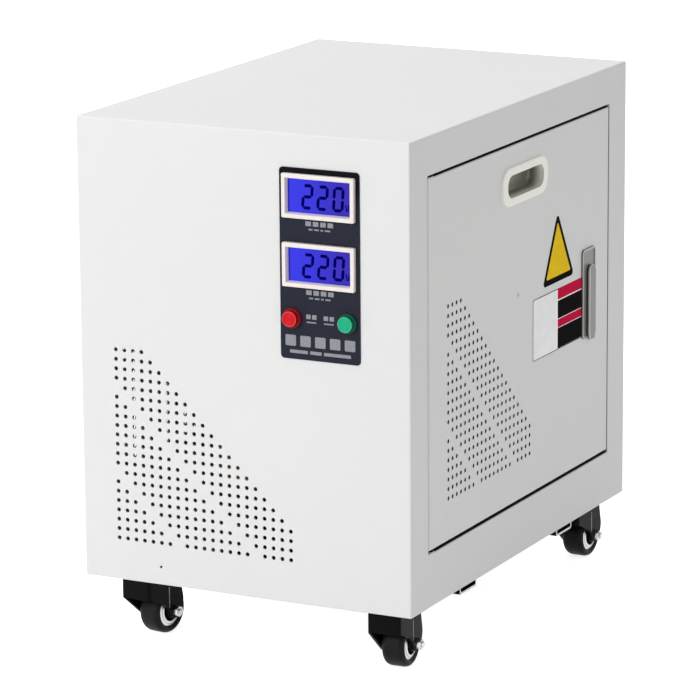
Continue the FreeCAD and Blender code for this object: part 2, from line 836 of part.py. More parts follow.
def winding_blocks():
    """Blocks that carry the windings between the flanges of the core clamps."""
    outer_start = winding_clearance + inner_winding + winding_duct
    reach = core_thickness / 2 + outer_start + outer_winding
    inner_x = core_thickness / 2 + clamp_wall + block_from_web
    outer_x = min(core_thickness / 2 + clamp_flange, reach)
    spans = ((floor_top + lower_clamp_height, winding_bottom), (winding_top, upper_clamp_bottom()))
    blocks = []
    for leg in (-1, 1):
        for side in (-1, 1):
            for step in (-1, 1):
                y = core_y + leg * leg_spacing / 2 + step * block_spacing / 2
                for low, high in spans:
                    start = inner_x if side > 0 else -outer_x
                    blocks.append(box((start, y - block_width / 2, low),
                                      (start + outer_x - inner_x, y + block_width / 2, high)))
    return Part.makeCompound(blocks)


def upper_clamp_bottom():
    return window_top + (window_bottom - floor_top - lower_clamp_height)


def core_clamp(side, low, height):
    """Channel along one side of a yoke, with its flanges turned outward."""
    web = core_thickness / 2
    tip = web + clamp_flange
    high = low + height
    corners = [(web, low), (tip, low), (tip, low + clamp_wall), (web + clamp_wall, low + clamp_wall),
               (web + clamp_wall, high - clamp_wall), (tip, high - clamp_wall), (tip, high), (web, high)]
    radii = [clamp_wall, 0, 0, clamp_wall / 2, clamp_wall / 2, 0, 0, clamp_wall]
    bar = extrude("front", [outline("front", corners, radii, core_y - clamp_length / 2)], clamp_length)
    holes = [rod("side", y, z, 0, 2 * core_thickness, core_bolt_radius) for y, z in core_bolt_places()]
    holes += [rod("floor", x, y, floor_top - 1, clamp_wall + 2, foot_bolt_radius) for x, y in foot_places()]
    bar = bar.cut(holes)
    return bar if side > 0 else mirrored(bar)


def transformer_bolts():
    """Bolts through the yokes and clamps, and the foot bolts down through floor and channel."""
    bolts = []
    web = core_thickness / 2 + clamp_wall
    for y, z in core_bolt_places():
        shank = rod("side", y, z, -web - core_bolt_tail - core_bolt_head_height,
                    2 * web + core_bolt_tail + core_bolt_head_height, core_bolt_radius)
        nut = hexagon("side", y, z, -web - core_bolt_head_height, core_bolt_head_height,
                      core_bolt_head_flats)
        head = hexagon("side", y, z, web, core_bolt_head_height, core_bolt_head_flats)
        bolts.append(joined([shank, nut, head]))
    under = base_z - channel_drop
    top = floor_top + clamp_wall
    for x, y in foot_places():
        shank = rod("floor", x, y, under - core_bolt_head_height - core_bolt_tail,
                    top - under + core_bolt_head_height + core_bolt_tail, foot_bolt_radius)
        nut = hexagon("floor", x, y, under - core_bolt_head_height, core_bolt_head_height,
                      core_bolt_head_flats)
        head = hexagon("floor", x, y, top, core_bolt_head_height, core_bolt_head_flats)
        bolts.append(joined([shank, nut, head]))
    return Part.makeCompound(bolts)


def terminal_bracket():
    """Folded bridge on the inside of the rear wall."""
    face_y = inner_rear_y - bracket_stand_off
    half = bracket_width / 2
    foot = half + bracket_foot
    corners = [(-foot, inner_rear_y), (-foot, inner_rear_y - sheet), (-half, inner_rear_y - sheet),
               (-half, face_y), (half, face_y), (half, inner_rear_y - sheet),
               (foot, inner_rear_y - sheet), (foot, inner_rear_y), (half - sheet, inner_rear_y),
               (half - sheet, face_y + sheet), (sheet - half, face_y + sheet),
               (sheet - half, inner_rear_y)]
    radii = [0, 0, bend_inner, bend_outer, bend_outer, bend_inner, 0, 0,
             bend_outer, bend_inner, bend_inner, bend_outer]
    return extrude("floor", [outline("floor", corners, radii, bracket_z)], bracket_height)


def terminal_block(side):
    """Moulded terminal strip: a base, barriers between the poles and a screw at each pole."""
    x = side * terminal_spacing / 2
    z = bracket_z + bracket_height / 2
    face_y = inner_rear_y - bracket_stand_off - terminal_base
    pieces = [slab("front", x, z, terminal_width, terminal_height, face_y, terminal_base)]
    pitch = (terminal_width - barrier_thickness) / terminal_poles
    for step in range(terminal_poles + 1):
        barrier_x = x - terminal_width / 2 + barrier_thickness / 2 + step * pitch
        pieces.append(slab("front", barrier_x, z, barrier_thickness, terminal_height,
                           face_y - barrier_height, barrier_height))
    for pole in range(terminal_poles):
        screw_x = terminal_screw_x(side, pole)
        pieces.append(rod("front", screw_x, z, face_y - terminal_screw_height, terminal_screw_height,
                          terminal_screw_radius))
    return joined(pieces)


def terminal_screw_x(side, pole):
    """Middle of one pole, counted from 0 at the block's left end."""
    pitch = (terminal_width - barrier_thickness) / terminal_poles
    return side * terminal_spacing / 2 - terminal_width / 2 + barrier_thickness / 2 + (pole + 0.5) * pitch


def lead(points):
    """Round wire along straight runs joined by tangent arcs, each as large as its runs allow."""
    places = [Vector(*place) for place in points]
    edges = []
    start = places[0]
    for before, corner, after in zip(places, places[1:], places[2:]):
        to_before = before - corner
        to_after = after - corner
        half = to_before.getAngle(to_after) / 2
        reach = arc_share * min(to_before.Length, to_after.Length)
        radius = reach * math.tan(half)
        to_before.normalize()
        to_after.normalize()
        middle = (to_before + to_after).normalize()
        top = corner + middle * (radius / math.sin(half) - radius)
        bend_start = corner + to_before * reach
        bend_end = corner + to_after * reach
        edges.append(Part.LineSegment(start, bend_start).toShape())
        edges.append(Part.Arc(bend_start, top, bend_end).toShape())
        start = bend_end
    edges.append(Part.LineSegment(start, places[-1]).toShape())
    path = Part.Wire(edges)
    section = Part.Wire([Part.Circle(places[0], places[1] - places[0], lead_radius).toShape()])
    return path.makePipeShell([section], True, True)


def winding_leads():
    """Leads from the rear leg's coils to the terminals, and the earth lead to its stud."""
    leg_y = core_y + leg_spacing / 2 + leg_width / 2 + winding_clearance
    inner_y = leg_y + inner_winding / 2
    outer_y = leg_y + inner_winding + winding_duct + outer_winding / 2
    terminal_face = inner_rear_y - bracket_stand_off - terminal_base
    wire_y = terminal_face - lead_radius - fit_gap
    screw_z = bracket_z + bracket_height / 2
    screw_top = screw_z + terminal_screw_radius
    leads = []
    for side, first_pole, start_y in ((-1, 0, outer_y), (1, 1, inner_y)):
        for step in range(2):
            pole = first_pole + step
            end_x = terminal_screw_x(side, pole)
            away = step if side > 0 else 1 - step
            start_x = side * (lead_from_middle + away * lead_spacing)
            between_x = start_x + (end_x - start_x) / 3
            between_y = start_y + (wire_y - start_y) / 3
            leads.append(lead([(start_x, start_y, winding_top),
                               (start_x, start_y, winding_top + lead_rise),
                               (between_x, between_y, lead_crest - lead_rise / 3),
                               (end_x, wire_y - lead_rise / 2, lead_crest),
                               (end_x, wire_y, lead_crest - lead_rise / 2),
                               (end_x, wire_y, screw_top)]))
    earth_x = terminal_screw_x(-1, terminal_poles - 1)
    stud_z = base_z + gland_height
    stud_end = inner_rear_y - earth_inside
    low = screw_z - terminal_screw_radius
    leads.append(lead([(earth_x, wire_y, low), (earth_x, wire_y, low - 2 * lead_rise),
                       (earth_x * 2 / 3, wire_y + lead_radius, (low + stud_z) / 2 + lead_rise / 2),
                       (earth_x / 4, wire_y - lead_radius, (low + stud_z) / 2 - lead_rise),
                       (0, stud_end - lead_rise, stud_z + 1.2 * lead_rise),
                       (0, stud_end - lead_rise + lead_radius, stud_z), (0, stud_end, stud_z)]))
    return Part.makeCompound(leads)


def caster_places():
    """Swivel axis of each caster in plan."""
    x = side_x - caster_from_side
    return {"front_left": (-x, front_y + caster_from_front), "front_right": (x, front_y + caster_from_front),
            "rear_left": (-x, rear_y - caster_from_rear), "rear_right": (x, rear_y - caster_from_rear)}


def set_down(shape, corner):
    """Turn a caster piece, made round the origin with its wheel behind it, and move it to its corner."""
    x, y = caster_places()[corner]
    placed = shape.copy()
    placed.rotate(Vector(0, 0, 0), Vector(0, 0, 1), -caster_turns[corner])
    placed.translate(Vector(x, y, 0))
    return placed


def caster_bolt_places():
    """The four bolts of every caster plate in plan."""
    half = caster_bolt_spacing / 2
    return [(x + a, y + b) for x, y in caster_places().values() for a in (-half, half) for b in (-half, half)]


def caster_plates():
    """Every plate, square to the cabinet, and its bolts as solids of their own."""
    plate_low = base_z - caster_plate_thickness
    holes = [rod("floor", x, y, plate_low - 1, caster_plate_thickness + 2, caster_bolt_radius)
             for x, y in caster_bolt_places()]
    pieces = []
    for x, y in caster_places().values():
        plate = caster_plate()
        plate.translate(Vector(x, y, 0))
        pieces.append(plate.cut(holes))
    for x, y in caster_bolt_places():
        shank = rod("floor", x, y, plate_low, floor_top + caster_nut_height - plate_low, caster_bolt_radius)
        head = hexagon("floor", x, y, plate_low - caster_head_height, caster_head_height, caster_bolt_flats)
        nut = hexagon("floor", x, y, floor_top, caster_nut_height, caster_bolt_flats)
        pieces.append(joined([shank, head, nut]))
    return Part.makeCompound(pieces)


def caster_plate():
    """Mounting plate with the grooved upper race and the kingpin under it."""
    top = base_z
    plate_low = top - caster_plate_thickness
    race_low = plate_low - race_height
    plate = slab("floor", 0, 0, caster_plate_size, caster_plate_size, plate_low, caster_plate_thickness,
                 caster_plate_corner)
    middle = (plate_low + race_low) / 2
    head_top = crown_top - crown_wall - fit_gap
    head_low = head_top - kingpin_head_height
    profile = [(0, plate_low), (race_radius, plate_low), (race_radius, middle + race_groove / 2),
               (race_radius - race_groove, middle), (race_radius, middle - race_groove / 2),
               (race_radius, race_low), (kingpin_radius, race_low), (kingpin_radius, head_top),
               (kingpin_head_radius, head_top), (kingpin_head_radius, head_low), (0, head_low)]
    return joined([plate, turned(profile)])


def turned(profile):
    """Solid of revolution about the vertical axis through the origin."""
    wire = outline("front", profile, [0.0] * len(profile), 0)
    return Part.Face(wire).revolve(Vector(0, 0, 0), Vector(0, 0, 1), 360)


def caster_fork():
    """Pressed fork: a crown with a wall in front, and two legs down to the axle."""
    skirt_low = crown_top - crown_skirt
    boss_low = wheel_radius - leg_boss_radius
    corners = [(-leg_front, crown_top), (-leg_front, skirt_low),
               (caster_trail - leg_boss_radius, boss_low), (caster_trail + leg_boss_radius, boss_low),
               (leg_back, skirt_low), (leg_back, crown_top)]
    radii = [0, leg_front_corner, leg_boss_radius / 2, leg_rear_corner, leg_boss_radius, 0]
    block = extrude("side", [outline("side", corners, radii, -leg_outer)], 2 * leg_outer)
    behind = max(leg_back, caster_trail + leg_boss_radius) + crown_corner
    pressed = fork_plan(leg_outer, leg_front, behind, crown_top, crown_corner)
    wheel_space = fork_plan(leg_gap / 2, leg_front - crown_wall, behind + 1, crown_top - crown_wall,
                            crown_corner - crown_wall)
    holes = [rod("floor", 0, 0, crown_top - 2 * crown_wall, 3 * crown_wall, kingpin_radius + running_gap),
             rod("side", caster_trail, wheel_radius, -2 * leg_outer, 4 * leg_outer, axle_radius)]
    body = block.common(pressed).cut([wheel_space] + holes)
    return body.makeFillet(crown_edge, edges_where(body, on_crown_rim))


def fork_plan(half_width, front, behind, height, corner):
    """Upright block from the floor with rounded corners, under the fork's plan outline."""
    return slab("floor", 0, (behind - front) / 2, 2 * half_width, front + behind, 0, height, corner)


def on_crown_rim(edge):
    """True for the outer edges of the fork's top face, and not for its kingpin hole."""
    box_of = edge.BoundBox
    in_top = abs(box_of.ZMin - crown_top) < 1e-6 and abs(box_of.ZMax - crown_top) < 1e-6
    around_pin = box_of.DiagonalLength < 3 * kingpin_radius
    at_rear = box_of.YMin > leg_back - 1e-6
    return in_top and not around_pin and not at_rear


def caster_tread():
    """Tyre with rounded shoulders on the hub."""
    half = tread_width / 2
    inner = wheel_radius - tread_thickness
    profile = [(-half, inner), (half, inner), (half, wheel_radius), (-half, wheel_radius)]
    return wheel_turned(profile, [0, 0, tread_edge, tread_edge])


def wheel_turned(profile, radii):
    """Solid of revolution about the axle of a caster that stands at the origin."""
    corners = [(offset, wheel_radius + radius) for offset, radius in profile]
    face = Part.Face(outline("front", corners, radii, caster_trail))
    return face.revolve(Vector(0, caster_trail, wheel_radius), Vector(1, 0, 0), 360)


def caster_hub():
    """Wheel centre with a proud cover ring on each face and a long bearing sleeve."""
    half = tread_width / 2
    web = half - hub_face_inset
    outer = wheel_radius - tread_thickness
    ring = half + hub_ring_proud
    sleeve = hub_centre_width / 2
    bore = axle_radius + running_gap
    half_profile = [(bore, sleeve), (hub_centre_radius, sleeve), (hub_centre_radius, web - hub_dish_depth),
                    (hub_ring_inner, web - hub_dish_depth), (hub_ring_inner, ring), (outer, ring)]
    profile = [(offset, radius) for radius, offset in half_profile]
    profile += [(-offset, radius) for radius, offset in reversed(half_profile)]
    edge = hub_ring_edge
    return wheel_turned(profile, [0, 0, 0, 0, edge, edge, edge, edge, 0, 0, 0, 0])


def caster_axle():
    """Bolt through both legs, with its head on one side and its nut and tail on the other."""
    start = -leg_outer - axle_nut_height
    end = leg_outer + axle_nut_height + axle_tail
    bolt = rod("side", caster_trail, wheel_radius, start, end - start, axle_radius)
    head = hexagon("side", caster_trail, wheel_radius, start, axle_nut_height, axle_nut_flats)
    nut = hexagon("side", caster_trail, wheel_radius, leg_outer, axle_nut_height, axle_nut_flats)
    return joined([bolt, head, nut])


def cabinet_parts():
    upper, lower = meter_heights()
    left, right = lamp_places()
    return {
        "front_panel": front_panel(), "rear_panel": rear_panel(), "top_cover": roof(),
        "base_tray": base_tray(), "hinge_pins": hinge_pins(), "cross_channels": cross_channels(),
        "instrument_plate": instrument_plate(),
        "input_meter_housing": meter_housing(upper), "output_meter_housing": meter_housing(lower),
        "input_meter_display": meter_display(upper), "output_meter_display": meter_display(lower),
        "input_lamp_lens": lamp_lens(left), "output_lamp_lens": lamp_lens(right),
        "input_lamp_body": lamp_body(left), "output_lamp_body": lamp_body(right),
        "input_cable_gland": cable_gland(gland_places()[0]),
        "output_cable_gland": cable_gland(gland_places()[1]), "earth_stud": earth_stud(),
        "terminal_bracket": terminal_bracket(),
        "input_terminal_block": terminal_block(-1), "output_terminal_block": terminal_block(1),
    }


def door_parts():
    """Each piece of the right door, and its mirror image for the left door."""
    right = {"door": door(), "flush_pull": flush_pull(), "lock_plate": lock_plate(),
             "lock_lever": lock_lever(), "lock_cam": lock_cam()}
    parts = {}
    for name, shape in right.items():
        parts["right_" + name] = shape
        parts["left_" + name] = mirrored(shape)
    return parts


def transformer_parts():
    outer_start = winding_clearance + inner_winding + winding_duct
    parts = {"transformer_core": core(), "winding_blocks": winding_blocks(),
             "transformer_bolts": transformer_bolts(), "winding_leads": winding_leads()}
    for name, leg in (("front", -1), ("rear", 1)):
        parts[name + "_inner_winding"] = winding(leg, winding_clearance, inner_winding)
        parts[name + "_outer_winding"] = winding(leg, outer_start, outer_winding)
    for name, side in (("left", -1), ("right", 1)):
        parts[name + "_lower_clamp"] = core_clamp(side, floor_top, lower_clamp_height)
        parts[name + "_upper_clamp"] = core_clamp(side, upper_clamp_bottom(), upper_clamp_height)
    return parts


def caster_parts():
    pieces = {"fork": caster_fork(), "tread": caster_tread(), "hub": caster_hub(), "axle": caster_axle()}
    parts = {"caster_plates": caster_plates()}
    for corner in caster_turns:
        for name, shape in pieces.items():
            parts[corner + "_caster_" + name] = set_down(shape, corner)
    return parts


def export(parts):
    os.makedirs("parts", exist_ok=True)
    for name, shape in parts.items():
        shape.exportStep("parts/" + name + ".step")
        solids = len(shape.Solids)
        print(name, "solids", solids, "valid", shape.isValid(), "volume", round(shape.Volume))


all_parts = {}
for group in (cabinet_parts, door_parts, transformer_parts, caster_parts):
    all_parts.update(group())
export(all_parts)
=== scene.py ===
# %% [markdown]
# # An isolation transformer in its ventilated cabinet
#
# The real object is a heavy dry transformer inside a white folded-steel cabinet on four
# casters. Its sheets, doors, locks and wheels come ready-made from the fixed frame, which
# this notebook loads first. What the notebook adds is the look: the skin of each material,
# the displays, the stickers, the wound coils and the fine turned parts of the casters.

# %% Load the fixed frame
import json
import math

import bmesh
import bpy
import numpy as np
from mathutils import Matrix, Vector


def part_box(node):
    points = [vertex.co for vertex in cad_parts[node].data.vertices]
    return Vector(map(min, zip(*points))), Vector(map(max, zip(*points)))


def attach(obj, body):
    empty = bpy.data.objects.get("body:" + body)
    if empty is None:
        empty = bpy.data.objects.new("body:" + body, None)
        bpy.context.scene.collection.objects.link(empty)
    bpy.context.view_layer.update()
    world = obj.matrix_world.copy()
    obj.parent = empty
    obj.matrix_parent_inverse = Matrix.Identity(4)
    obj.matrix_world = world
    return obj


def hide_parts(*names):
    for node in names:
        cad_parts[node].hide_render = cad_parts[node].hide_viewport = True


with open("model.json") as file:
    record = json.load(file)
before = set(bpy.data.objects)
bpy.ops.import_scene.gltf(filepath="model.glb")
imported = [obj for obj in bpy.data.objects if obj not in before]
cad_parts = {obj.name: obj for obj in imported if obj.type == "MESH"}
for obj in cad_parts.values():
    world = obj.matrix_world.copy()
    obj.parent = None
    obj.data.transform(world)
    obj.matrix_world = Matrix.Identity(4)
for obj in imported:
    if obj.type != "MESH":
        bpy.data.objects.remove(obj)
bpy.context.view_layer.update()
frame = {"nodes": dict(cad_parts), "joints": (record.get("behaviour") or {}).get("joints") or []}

# %% [markdown]
# ## The camera
#
# A camera is a place, three directions and a lens. The place and the turn below were found
# by matching the seven visible corners of the cabinet. A long lens, far away, keeps the
# edges almost parallel, as product photographs do.

# %% Place the camera
CAMERA_PLACE = (1.954, -3.913, 1.306)
AZIMUTH = math.radians(26.75)
ELEVATION = math.radians(13.27)
ROLL = math.radians(-0.426)
FOCAL_PIXELS = 4204
FRAME_PIXELS = 700
SENSOR_WIDTH = 36.0

right = np.array([math.cos(AZIMUTH), math.sin(AZIMUTH), 0.0])
back = np.array([math.sin(AZIMUTH) * math.cos(ELEVATION),
                 -math.cos(AZIMUTH) * math.cos(ELEVATION), math.sin(ELEVATION)])
up = np.cross(back, right)
rolled_right = math.cos(ROLL) * right + math.sin(ROLL) * up
rolled_up = math.cos(ROLL) * up - math.sin(ROLL) * right

lens = bpy.data.cameras.new("camera")
lens.sensor_fit = "HORIZONTAL"
lens.sensor_width = SENSOR_WIDTH
lens.lens = SENSOR_WIDTH * FOCAL_PIXELS / FRAME_PIXELS
lens.clip_end = 100.0
camera = bpy.data.objects.new("camera", lens)
turn = np.column_stack([rolled_right, rolled_up, back])
camera.matrix_world = Matrix.Translation(CAMERA_PLACE) @ Matrix(turn.tolist()).to_4x4()
bpy.context.collection.objects.link(camera)
bpy.context.scene.camera = camera
print("lens", round(lens.lens, 1), "mm")

# %% [markdown]
# ## Shader sums in plain Python
#
# A material is a small circuit of nodes. Wiring it by hand hides the idea, so one class
# wraps a socket and gives it plus, minus and times: an expression such as `1 - mask * 0.3`
# then adds its own Math nodes. A second class holds one material and its shader.


# %% A socket that can be added and multiplied
class Socket:
    """A number in a shader circuit. Each Python operation on it adds one Math node."""

    def __init__(self, finish, output):
        self.finish = finish
        self.output = output

    def math(self, operation, *values):
        return self.finish.node("ShaderNodeMath", {"operation": operation}, dict(enumerate(values)))

    def __add__(self, other):
        return self.math("ADD", self, other)

    def __sub__(self, other):
        return self.math("SUBTRACT", self, other)

    def __rsub__(self, other):
        return self.math("SUBTRACT", other, self)

    def __mul__(self, other):
        return self.math("MULTIPLY", self, other)

    __radd__ = __add__
    __rmul__ = __mul__

    def abs(self):
        return self.math("ABSOLUTE", self)

    def smooth(self, low, high):
        """Zero below `low`, one above `high`, and a smooth step between them."""
        inputs = {0: self, 1: low, 2: high, 3: 0.0, 4: 1.0}
        return self.finish.node("ShaderNodeMapRange", {"interpolation_type": "SMOOTHSTEP"}, inputs)


# %% A finish: one material with its shader
class Finish:
    """A Principled material. `fixed` holds the shader's own settings by socket name."""

    def __init__(self, name, color, roughness, metallic=0.0, **fixed):
        self.material = bpy.data.materials.new(name)
        self.material.use_nodes = True
        self.tree = self.material.node_tree
        self.shader = self.tree.nodes["Principled BSDF"]
        self.color = color
        self.set("Base Color", (*color, 1.0))
        self.set("Roughness", roughness)
        self.set("Metallic", metallic)
        for socket_name, value in fixed.items():
            self.set(socket_name.replace("_", " ").title().replace("Ior", "IOR"), value)
        self.material.diffuse_color = (*color, 1.0)

    def set(self, socket_name, value):
        """Give a shader socket a plain value or the result of a circuit."""
        socket = self.shader.inputs[socket_name]
        if isinstance(value, Socket):
            self.tree.links.new(value.output, socket)
        else:
            socket.default_value = value

    def node(self, kind, settings, inputs, output=0):
        """Add one node: its settings first, then a value or a link for each input."""
        made = self.tree.nodes.new(kind)
        for name, value in settings.items():
            setattr(made, name, value)
        for key, value in inputs.items():
            if isinstance(value, Socket):
                self.tree.links.new(value.output, made.inputs[key])
            else:
                made.inputs[key].default_value = value
        return Socket(self, made.outputs[output])

    def place(self, scale=(1.0, 1.0, 1.0)):
        """Object coordinates in metres, stretched by a Mapping node."""
        where = self.node("ShaderNodeTexCoord", {}, {}, "Object")
        return self.node("ShaderNodeMapping", {}, {"Vector": where, "Scale": scale})

    def part(self, axis):
        """The x, y or z coordinate, for axis 0, 1 or 2."""
        return self.node("ShaderNodeSeparateXYZ", {}, {0: self.place()}, axis)

    def noise(self, size, detail=3.0, scale=(1.0, 1.0, 1.0)):
        """Cloudy noise about `size` metres across, from 0 to 1."""
        inputs = {"Vector": self.place(scale), "Scale": 1.0 / size, "Detail": detail}
        return self.node("ShaderNodeTexNoise", {}, inputs, "Fac")

    def blend(self, factor, first, second):
        """Colour between two colours."""
        inputs = {0: factor, 6: self.as_color(first), 7: self.as_color(second)}
        return self.node("ShaderNodeMix", {"data_type": "RGBA"}, inputs, 2)

    def grade(self, factor, first, second):
        """Base colour between two colours."""
        self.set("Base Color", self.blend(factor, first, second))

    @staticmethod
    def as_color(value):
        return value if isinstance(value, Socket) else (*value, 1.0)

    def bump(self, height, depth):
        """Raise the surface by `height` times `depth` metres, for the light only."""
        self.set("Normal", self.node("ShaderNodeBump", {}, {"Height": height, "Distance": depth}))

    def mottle(self, factor, change):
        """Darken the base colour a little where `factor` is low."""
        darker = tuple(channel * (1.0 - change) for channel in self.color)
        self.grade(factor, darker, self.color)


def dress(finish, *node_names):
    """Give a finish to nodes of the frame."""
    for node_name in node_names:
        for material_slot in frame["nodes"][node_name].material_slots:
            material_slot.material = finish.material


# %% [markdown]
# ## Surfaces from numpy
#
# Every new piece is a grid of points: rows go along one parameter, columns round the other.
# A whole grid is worked out at once, and neighbouring points become four-sided faces. Rows
# that shrink to one point close the piece, and doubled points are merged afterwards.


# %% Turn point grids into one piece
def grid_faces(rows, columns, close_rows):
    """Corner numbers of every quad: (i, j), (i, j+1), (i+1, j+1), (i+1, j), columns wrapping."""
    row = np.arange(rows if close_rows else rows - 1)[:, None]
    column = np.arange(columns)[None, :]
    below = (row + 1) % rows
    beside = (column + 1) % columns
    corners = [row * columns + column, row * columns + beside,
               below * columns + beside, below * columns + column]
    return np.stack(np.broadcast_arrays(*corners), axis=-1).reshape(-1, 4)


def make_piece(name, grids, finish, body, slot, close_rows=False, sharp=35.0):
    """One object from grids of points, each of shape (rows, columns, 3), in metres."""
    points = np.concatenate([grid.reshape(-1, 3) for grid in grids])
    faces = []
    start = 0
    for grid in grids:
        faces.append(grid_faces(grid.shape[0], grid.shape[1], close_rows) + start)
        start += grid.shape[0] * grid.shape[1]
    mesh = bpy.data.meshes.new(name)
    mesh.from_pydata(points.tolist(), [], np.concatenate(faces).tolist())
    shape = bmesh.new()
    shape.from_mesh(mesh)
    bmesh.ops.remove_doubles(shape, verts=shape.verts, dist=1e-6)
    bmesh.ops.dissolve_degenerate(shape, edges=shape.edges, dist=1e-7)
    bmesh.ops.recalc_face_normals(shape, faces=shape.faces)
    shape.to_mesh(mesh)
    shape.free()
    mesh.polygons.foreach_set("use_smooth", np.ones(len(mesh.polygons), dtype=bool))
    mesh.set_sharp_from_angle(angle=math.radians(sharp))
    mesh.materials.append(finish.material)
    piece = bpy.data.objects.new(name, mesh)
    bpy.context.collection.objects.link(piece)
    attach(piece, body)
    print(name, len(mesh.polygons), "faces")
    return piece


# %% Faces of the cabinet as drawing planes
class Plane:
    """A drawing plane on the object: `across`, `upward` and `out` are directions in metres."""

    def __init__(self, origin, across, upward, out):
        self.origin = np.array(origin, dtype=float)
        self.basis = np.array([across, upward, out], dtype=float)

    def at(self, points):
        """Place = origin + a * across + b * upward + height * out."""
        return self.origin + np.asarray(points) @ self.basis


def front_plane(x, z, y):
    return Plane((x, y, z), (1, 0, 0), (0, 0, 1), (0, -1, 0))


def side_plane(y, z, x, side=1):
    return Plane((x, y, z), (0, side, 0), (0, 0, 1), (side, 0, 0))


# %% Outlines with rounded corners, and thin plates on them
def unit(vectors):
    """The same directions with length one."""
    return vectors / np.linalg.norm(vectors, axis=-1, keepdims=True)


def rounded(corners, radius, steps=6):
    """Closed outline: each corner is an arc, tangent to both sides.

    The arc's centre lies on the bisector, radius / sin(half angle) from the corner.
    """
    corners = np.asarray(corners, dtype=float)
    before = unit(np.roll(corners, 1, axis=0) - corners)
    after = unit(np.roll(corners, -1, axis=0) - corners)
    half = np.arccos(np.clip((before * after).sum(1), -1, 1)) / 2
    middle = unit(before + after)
    radii = np.broadcast_to(np.asarray(radius, dtype=float), half.shape)
    centre = corners + middle * (radii / np.sin(half))[:, None]
    sweep = (np.pi / 2 - half)[:, None] * np.linspace(-1, 1, steps)[None, :]
    side = unit(before - after)
    arc = -middle[:, None, :] * np.cos(sweep)[..., None] - side[:, None, :] * np.sin(sweep)[..., None]
    return (centre[:, None, :] + arc * radii[:, None, None]).reshape(-1, 2)


def rectangle(width, height, radius, steps=6):
    """Rounded rectangle about the origin."""
    a, b = width / 2, height / 2
    return rounded([(-a, -b), (a, -b), (a, b), (-a, b)], radius, steps)


def inset(outline, amount):
    """Move each point of a closed outline inwards along its normal."""
    along = unit(np.roll(outline, -1, axis=0) - np.roll(outline, 1, axis=0))
    return outline + amount * np.column_stack([-along[:, 1], along[:, 0]])


def level(outline, height):
    """A row of points at one height."""
    return np.column_stack([outline, np.full(len(outline), height)])


def plate_grid(outline, low, high, edge):
    """Closed plate between two heights whose upper rim is a quarter circle.

    Rows: a middle point below, the outline at `low`, the outline at high - edge, the rim
    (inset by edge * (1 - cos t), raised by edge * sin t) and a middle point above.
    """
    middle = np.tile(outline.mean(axis=0), (len(outline), 1))
    rows = [level(middle, low), level(outline, low)]
    for angle in np.linspace(0, np.pi / 2, 5):
        ring = inset(outline, edge * (1 - math.cos(angle)))
        rows.append(level(ring, high - edge + edge * math.sin(angle)))
    return np.stack([*rows, level(middle, high)])


# %% Turned pieces
def turned_grid(profile, count=64):
    """Surface of revolution: a profile of (radius, height) pairs turned about the `out` axis."""
    profile = np.asarray(profile, dtype=float)
    angle = np.linspace(0, 2 * np.pi, count, endpoint=False)
    radius = profile[:, 0][:, None]
    return np.stack([radius * np.cos(angle), radius * np.sin(angle),
                     np.broadcast_to(profile[:, 1][:, None], (len(profile), count))], axis=-1)


def arc_profile(centre, radius, start, end, steps=6):
    """Points of an arc in a turned profile, with angles in degrees from the outward radius."""
    angle = np.radians(np.linspace(start, end, steps))
    return np.column_stack([centre[0] + radius * np.cos(angle), centre[1] + radius * np.sin(angle)])


# %% [markdown]
# ## Floor and light
#
# Product photographs stand on white paper under big soft lamps. The floor here is pale and
# diffuse, and it glows a little for the rays that show it, so it fades to white yet keeps
# the shadow. One large lamp faces the front, a weaker one stands over the roof, and a faint
# one lights the right side, which is why that side looks greyer.

# %% Floor that fades to white
FLOOR_SIZE = 14.0
FLOOR_GLOW = 0.80


def shown_rays(tree):
    """One for rays that show a thing: from the camera, off a glossy face or through glass."""
    path = tree.nodes.new("ShaderNodeLightPath")
    shown = path.outputs["Is Camera Ray"]
    for kind in ("Glossy", "Transmission"):
        larger = tree.nodes.new("ShaderNodeMath")
        larger.operation = "MAXIMUM"
        tree.links.new(shown, larger.inputs[0])
        tree.links.new(path.outputs["Is " + kind + " Ray"], larger.inputs[1])
        shown = larger.outputs[0]
    return shown


floor_finish = Finish("floor_paper", (0.86, 0.86, 0.86), 0.7)
floor_shown = Socket(floor_finish, shown_rays(floor_finish.tree))
floor_finish.set("Emission Color", floor_finish.blend(floor_shown, (0, 0, 0), (1, 1, 1)))
floor_finish.set("Emission Strength", FLOOR_GLOW)
half_floor = FLOOR_SIZE / 2
floor_mesh = bpy.data.meshes.new("floor")
floor_mesh.from_pydata([(-half_floor, -half_floor, 0), (half_floor, -half_floor, 0),
                        (half_floor, half_floor, 0), (-half_floor, half_floor, 0)], [], [(0, 1, 2, 3)])
floor_mesh.materials.append(floor_finish.material)
floor = bpy.data.objects.new("floor", floor_mesh)
bpy.context.collection.objects.link(floor)

# %% World: white where the camera or a reflection sees it, softer as a light
ROOM_LIGHT = 0.47

world = bpy.data.worlds.new("room")
bpy.context.scene.world = world
world.use_nodes = True
room = world.node_tree
strength = room.nodes.new("ShaderNodeMapRange")
strength.inputs["To Min"].default_value = ROOM_LIGHT
strength.inputs["To Max"].default_value = 1.0
room.links.new(shown_rays(room), strength.inputs["Value"])
room.links.new(strength.outputs[0], room.nodes["Background"].inputs["Strength"])
room.nodes["Background"].inputs["Color"].default_value = (1.0, 1.0, 1.0, 1.0)
bpy.context.scene.view_settings.view_transform = "Standard"


